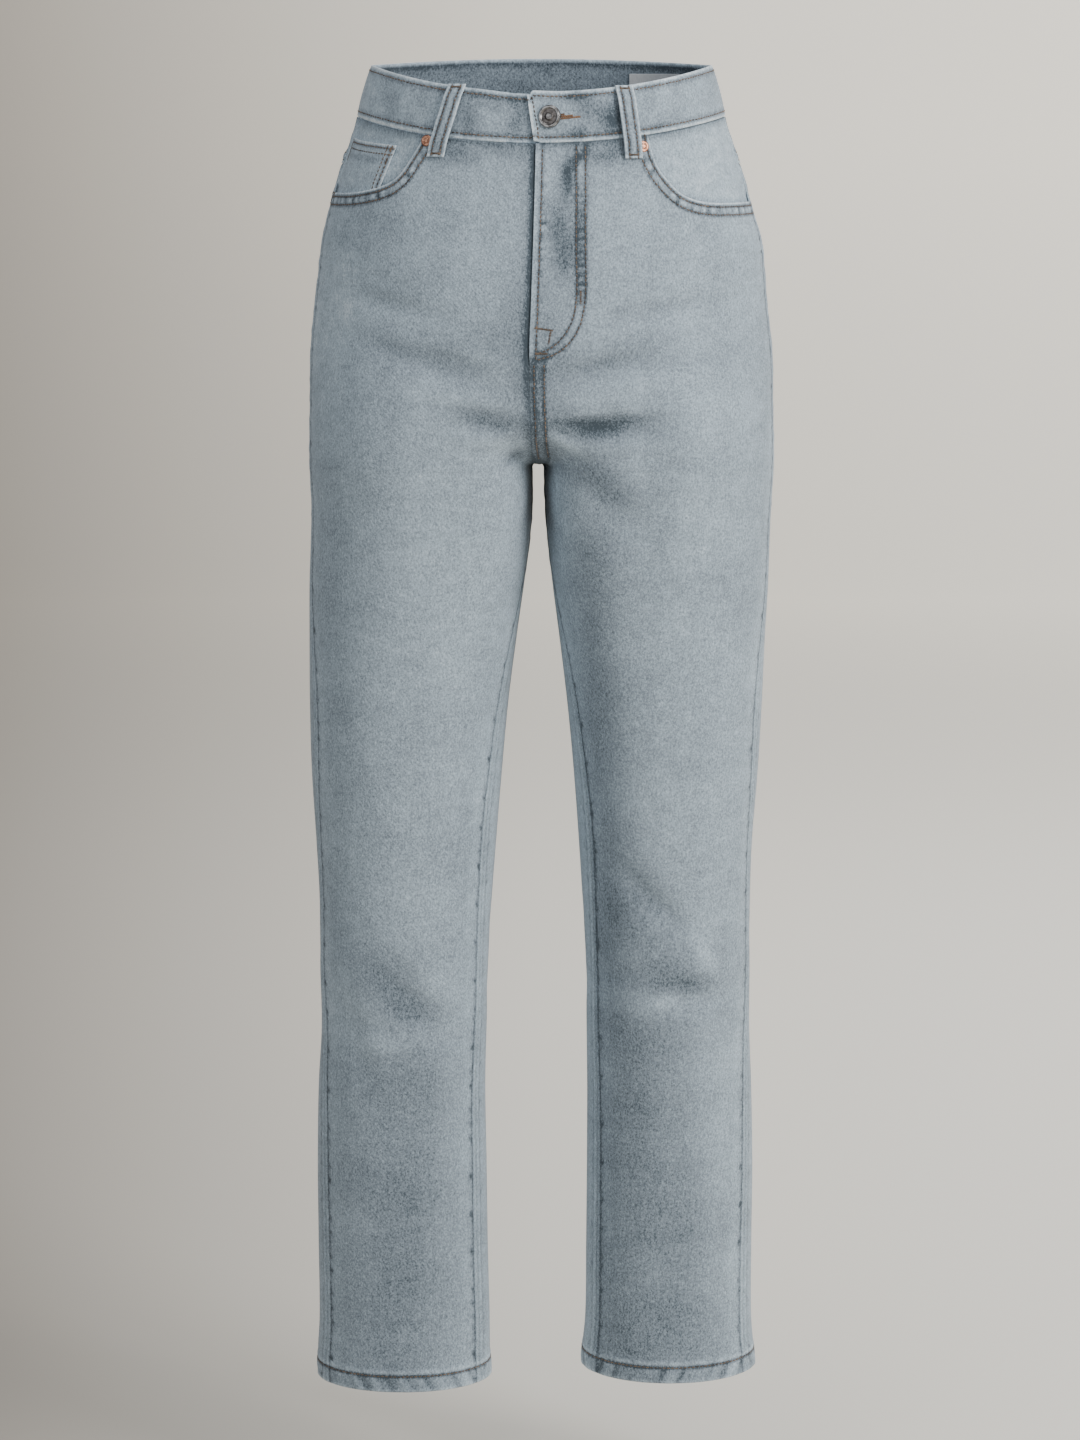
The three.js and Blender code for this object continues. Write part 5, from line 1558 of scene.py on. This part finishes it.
def buttonhole():
    piece = BAND[0]
    rim = []
    for angle in np.linspace(0.5, 2 * np.pi - 0.5, 26):
        rim.append((EYE_X + EYE_RADIUS * math.cos(angle),
                    BUTTON_Z + EYE_RADIUS * math.sin(angle), angle))
    lines = []
    for x in np.linspace(EYE_X + EYE_RADIUS, TAIL_X, 26):
        narrow = 0.3 + 2.3 * ((TAIL_X - x) / (TAIL_X - EYE_X)) ** 0.8
        lines.append(np.array([ring_frame(ring_angle("front", x, end), end)[0]
                               for end in (BUTTON_Z - narrow, BUTTON_Z + narrow)]))
    for x, height, angle in rim:
        middle, _ = ring_frame(ring_angle("front", x, height), height)
        way = np.array([math.cos(angle), 0, math.sin(angle)]) * 0.95
        lines.append(np.array([middle - way, middle + way]))
    worked = sew("buttonhole_thread", piece, lines, pitch=1.5, size=(1.9, 0.42, 0.45))
    worked.data.materials[0] = thread_finish("buttonhole_thread", (0.075, 0.038, 0.018),
                                             (0.30, 0.155, 0.070))


buttonhole()

# %% [markdown]
# ## Metal
# The button is one stamped grey cap: a rolled rim round a sunk, dark field and a low dome. The
# rivets are small copper caps with a nub. Both start as a cylinder whose top face is inset and
# pushed in or out step by step, and a bevel rounds the edges.

# %% Metal finishes
def metal(name, dark, light, rough):
    material, tree, surface = new_material(name)
    where = node(tree, "ShaderNodeTexCoord").outputs["Object"]
    stain = noise(tree, where, 320, 4)
    color = ramp_color(tree, stain, (0.36, dark), (0.62, light))
    put_on(tree, surface, color, noise(tree, where, 1500, 2), 0.25)
    settle(tree, surface, Roughness=calc(tree, "MULTIPLY_ADD", stain, 0.25, rough),
           Metallic=1.0)
    return material


GREY_METAL = metal("grey_metal", (0.13, 0.12, 0.115), (0.44, 0.43, 0.42), 0.20)
DARK_METAL = metal("dark_metal", (0.055, 0.050, 0.048), (0.22, 0.20, 0.19), 0.30)
COPPER = metal("copper", (0.28, 0.12, 0.075), (0.62, 0.33, 0.22), 0.28)
print("metals:", GREY_METAL.name, DARK_METAL.name, COPPER.name)

# %% Button and rivets
def turned_cap(name, radius, height, moves, material, node_name, spot, stand, lean=0.0,
               field=(None, 0, 0)):
    """A round cap: moves are (inset, push) pairs on its top face, in millimetres."""
    bpy.ops.object.select_all(action="DESELECT")
    bpy.ops.mesh.primitive_cylinder_add(vertices=48, radius=radius / 1000,
                                        depth=height / 1000, location=(0, 0, height / 2000))
    cap = bpy.context.object
    cap.name = cap.data.name = name
    bpy.ops.object.transform_apply(location=True, rotation=True, scale=True)
    bpy.ops.object.mode_set(mode="EDIT")
    bpy.ops.mesh.select_mode(type="FACE")
    bpy.ops.mesh.select_all(action="DESELECT")
    work = bmesh.from_edit_mesh(cap.data)
    work.faces.ensure_lookup_table()
    top = max(work.faces, key=lambda f: (len(f.verts) > 4, f.calc_center_median().z))
    top.select = True
    work.faces.active = top
    bmesh.update_edit_mesh(cap.data)
    for inset, push in moves:
        bpy.ops.mesh.inset(thickness=inset / 1000)
        if push:
            bpy.ops.transform.translate(value=(0, 0, push / 1000))
    bpy.ops.object.mode_set(mode="OBJECT")
    bevel = cap.modifiers.new("soft edges", "BEVEL")
    bevel.width, bevel.segments, bevel.limit_method = 0.00035, 3, "ANGLE"
    bpy.ops.object.modifier_apply(modifier=bevel.name)
    cap.data.materials.append(material)
    dark, inner, outer = field
    if dark:
        cap.data.materials.append(dark)
        for face in cap.data.polygons:
            if inner < face.center.xy.length * 1000 < outer:
                face.material_index = 1
    middle, out = ring_frame(ring_angle("front", *spot), spot[1])
    facing = Vector(out)
    facing.rotate(Euler((0, 0, lean)))
    turn = facing.to_track_quat("Z", "Y").to_matrix()
    spots = np.array([v.co for v in cap.data.vertices]) @ np.array(turn).T
    spots = spots + (middle + out * stand) / 1000
    cap.data.vertices.foreach_set("co", spots.astype(np.float32).ravel())
    cap.data.update()
    cap.data.shade_smooth()
    print(name, "faces", len(cap.data.polygons))
    return finish_piece(cap, [node_name])


BUTTON_STEPS = [(0.5, 0.9), (1.5, 0.1), (0.6, -1.0), (2.6, 0.0), (0.5, 0.5), (1.0, 0.25)]
RIVET_STEPS = [(0.7, 0.45), (1.1, 0.0), (0.4, -0.25), (0.6, 0.5)]
turned_cap("button_cap", 8.4, 2.2, BUTTON_STEPS, GREY_METAL, "waist_button",
           (BUTTON_X, BUTTON_Z), BAND_PROUD + GAP + 1.0, math.radians(-22), (DARK_METAL, 2.2, 5.6))
for name, spot in (("right", (-83.6, -28.1)), ("left", (74.0, -32.2))):
    turned_cap(f"rivet_cap_{name}", 4.2, 0.5, RIVET_STEPS, COPPER, f"rivet_{name}",
               spot, GAP)

# %% [markdown]
# ### Inside label
# The label is the CAD's own thin sheet, which has the right shape, so it only gets a woven
# finish. It carries no words.

# %% Label finish
def woven_tape():
    material, tree, surface = new_material("woven_label")
    where = node(tree, "ShaderNodeTexCoord").outputs["Object"]
    weave = noise(tree, where, 1500, 2, (1, 1, 0.25))
    color = ramp_color(tree, weave, (0.0, (0.50, 0.52, 0.54)), (1.0, (0.80, 0.81, 0.82)))
    put_on(tree, surface, color, weave, 0.3)
    settle(tree, surface, Roughness=0.8)
    return material


label = next(o for o in bpy.data.objects if o.name.startswith("waist_label") and o.type == "MESH")
label.data.materials.clear()
label.data.materials.append(woven_tape())
print("label carries", label.data.materials[0].name)

# %% [markdown]
# ## Studio
# The jeans hang over a pale floor that bends up into a wall far behind them, so the wall hides
# nothing from any side. Its colour is painted light and shade, graded from a darker left to a
# lighter right and top, and it glows a little by itself. The light is soft, with its key on the
# picture's right.

# %% Floor and wall
EYE_Y, EYE_Z = -3.667, 0.031
FLOOR_Z, WALL_START, WALL_BEND = -1.06, 6.2, 0.9
# what the picture spans from the eye, as shares of the distance
SPAN_ASIDE, SPAN_LOW, SPAN_HIGH = 0.1134, -0.29, 0.095


def backdrop():
    profile = [(y, FLOOR_Z) for y in (-6.0, -3.0, 0.0, 3.0, WALL_START)]
    profile += [(WALL_START + WALL_BEND * math.sin(a), FLOOR_Z + WALL_BEND * (1 - math.cos(a)))
                for a in np.linspace(0.08, math.pi / 2, 24)]
    profile.append((WALL_START + WALL_BEND, 1.6))
    columns = np.linspace(-3.2, 3.2, 17)
    points = [(x, y, z) for y, z in profile for x in columns]
    wide = len(columns)
    faces = [(i * wide + j, i * wide + j + 1, (i + 1) * wide + j + 1, (i + 1) * wide + j)
             for i in range(len(profile) - 1) for j in range(wide - 1)]
    mesh = bpy.data.meshes.new("backdrop")
    mesh.from_pydata(points, [], faces)
    mesh.shade_smooth()
    stage = add_object("backdrop", mesh)
    material, tree, surface = new_material("backdrop")
    place_in = node(tree, "ShaderNodeTexCoord").outputs["Object"]
    axes = node(tree, "ShaderNodeSeparateXYZ", {0: place_in}).outputs
    reach = calc(tree, "MAXIMUM", calc(tree, "SUBTRACT", axes[1], EYE_Y), 1.5)
    aside = calc(tree, "DIVIDE", axes[0], reach)
    above = calc(tree, "DIVIDE", calc(tree, "SUBTRACT", axes[2], EYE_Z), reach)
    blend = node(tree, "ShaderNodeMapRange", {"Value": aside, "From Min": -SPAN_ASIDE,
                 "From Max": SPAN_ASIDE})
    # painted light and shade: darker on the left, lighter on the right and lighter towards the top
    painted_light = ramp_color(tree, blend.outputs[0], (0.0, (0.270, 0.248, 0.216)),
                       (1.0, (0.695, 0.663, 0.595)), (0.5, (0.560, 0.534, 0.477)))
    rise = node(tree, "ShaderNodeMapRange", {"Value": above, "From Min": SPAN_LOW,
                "From Max": SPAN_HIGH, "To Min": 0.90, "To Max": 1.70})
    color = node(tree, "ShaderNodeVectorMath", {0: painted_light, "Scale": rise.outputs[0]},
                 operation="SCALE").outputs[0]
    # the wall and floor glow with this painted light
    settle(tree, surface, Base_Color=color, Emission_Color=color, Emission_Strength=0.75,
           Roughness=0.95)
    mesh.materials.append(material)
    print("backdrop:", len(faces), "faces, floor at", FLOOR_Z, "m")


backdrop()

# %% Lights
def area_light(name, place_at, aim, size, power, color):
    light = bpy.data.lights.new(name, "AREA")
    light.shape, light.energy, light.color = "RECTANGLE", power, color
    light.size, light.size_y = size
    lamp = add_object(name, light)
    lamp.location = place_at
    lamp.rotation_euler = (Vector(aim) - Vector(place_at)).to_track_quat("-Z", "Y").to_euler()


area_light("key", (2.3, -2.0, 1.0), (0, 0, -0.3), (1.3, 1.6), 88, (1.0, 0.99, 0.98))
area_light("fill", (-2.2, -2.4, 0.6), (0, 0, -0.4), (1.8, 2.0), 18, (0.92, 0.96, 1.0))
area_light("top", (0.2, -0.4, 2.0), (0, 0, 0), (1.6, 1.2), 18, (1.0, 1.0, 1.0))
area_light("behind", (0.7, 2.7, 1.7), (0, 0, -0.4), (1.8, 1.4), 34, (0.97, 0.98, 1.0))
world = bpy.data.worlds.new("studio")
world.use_nodes = True
sky = world.node_tree.nodes["Background"].inputs
sky[0].default_value, sky[1].default_value = (0.80, 0.82, 0.86, 1), 0.32
bpy.context.scene.world = world
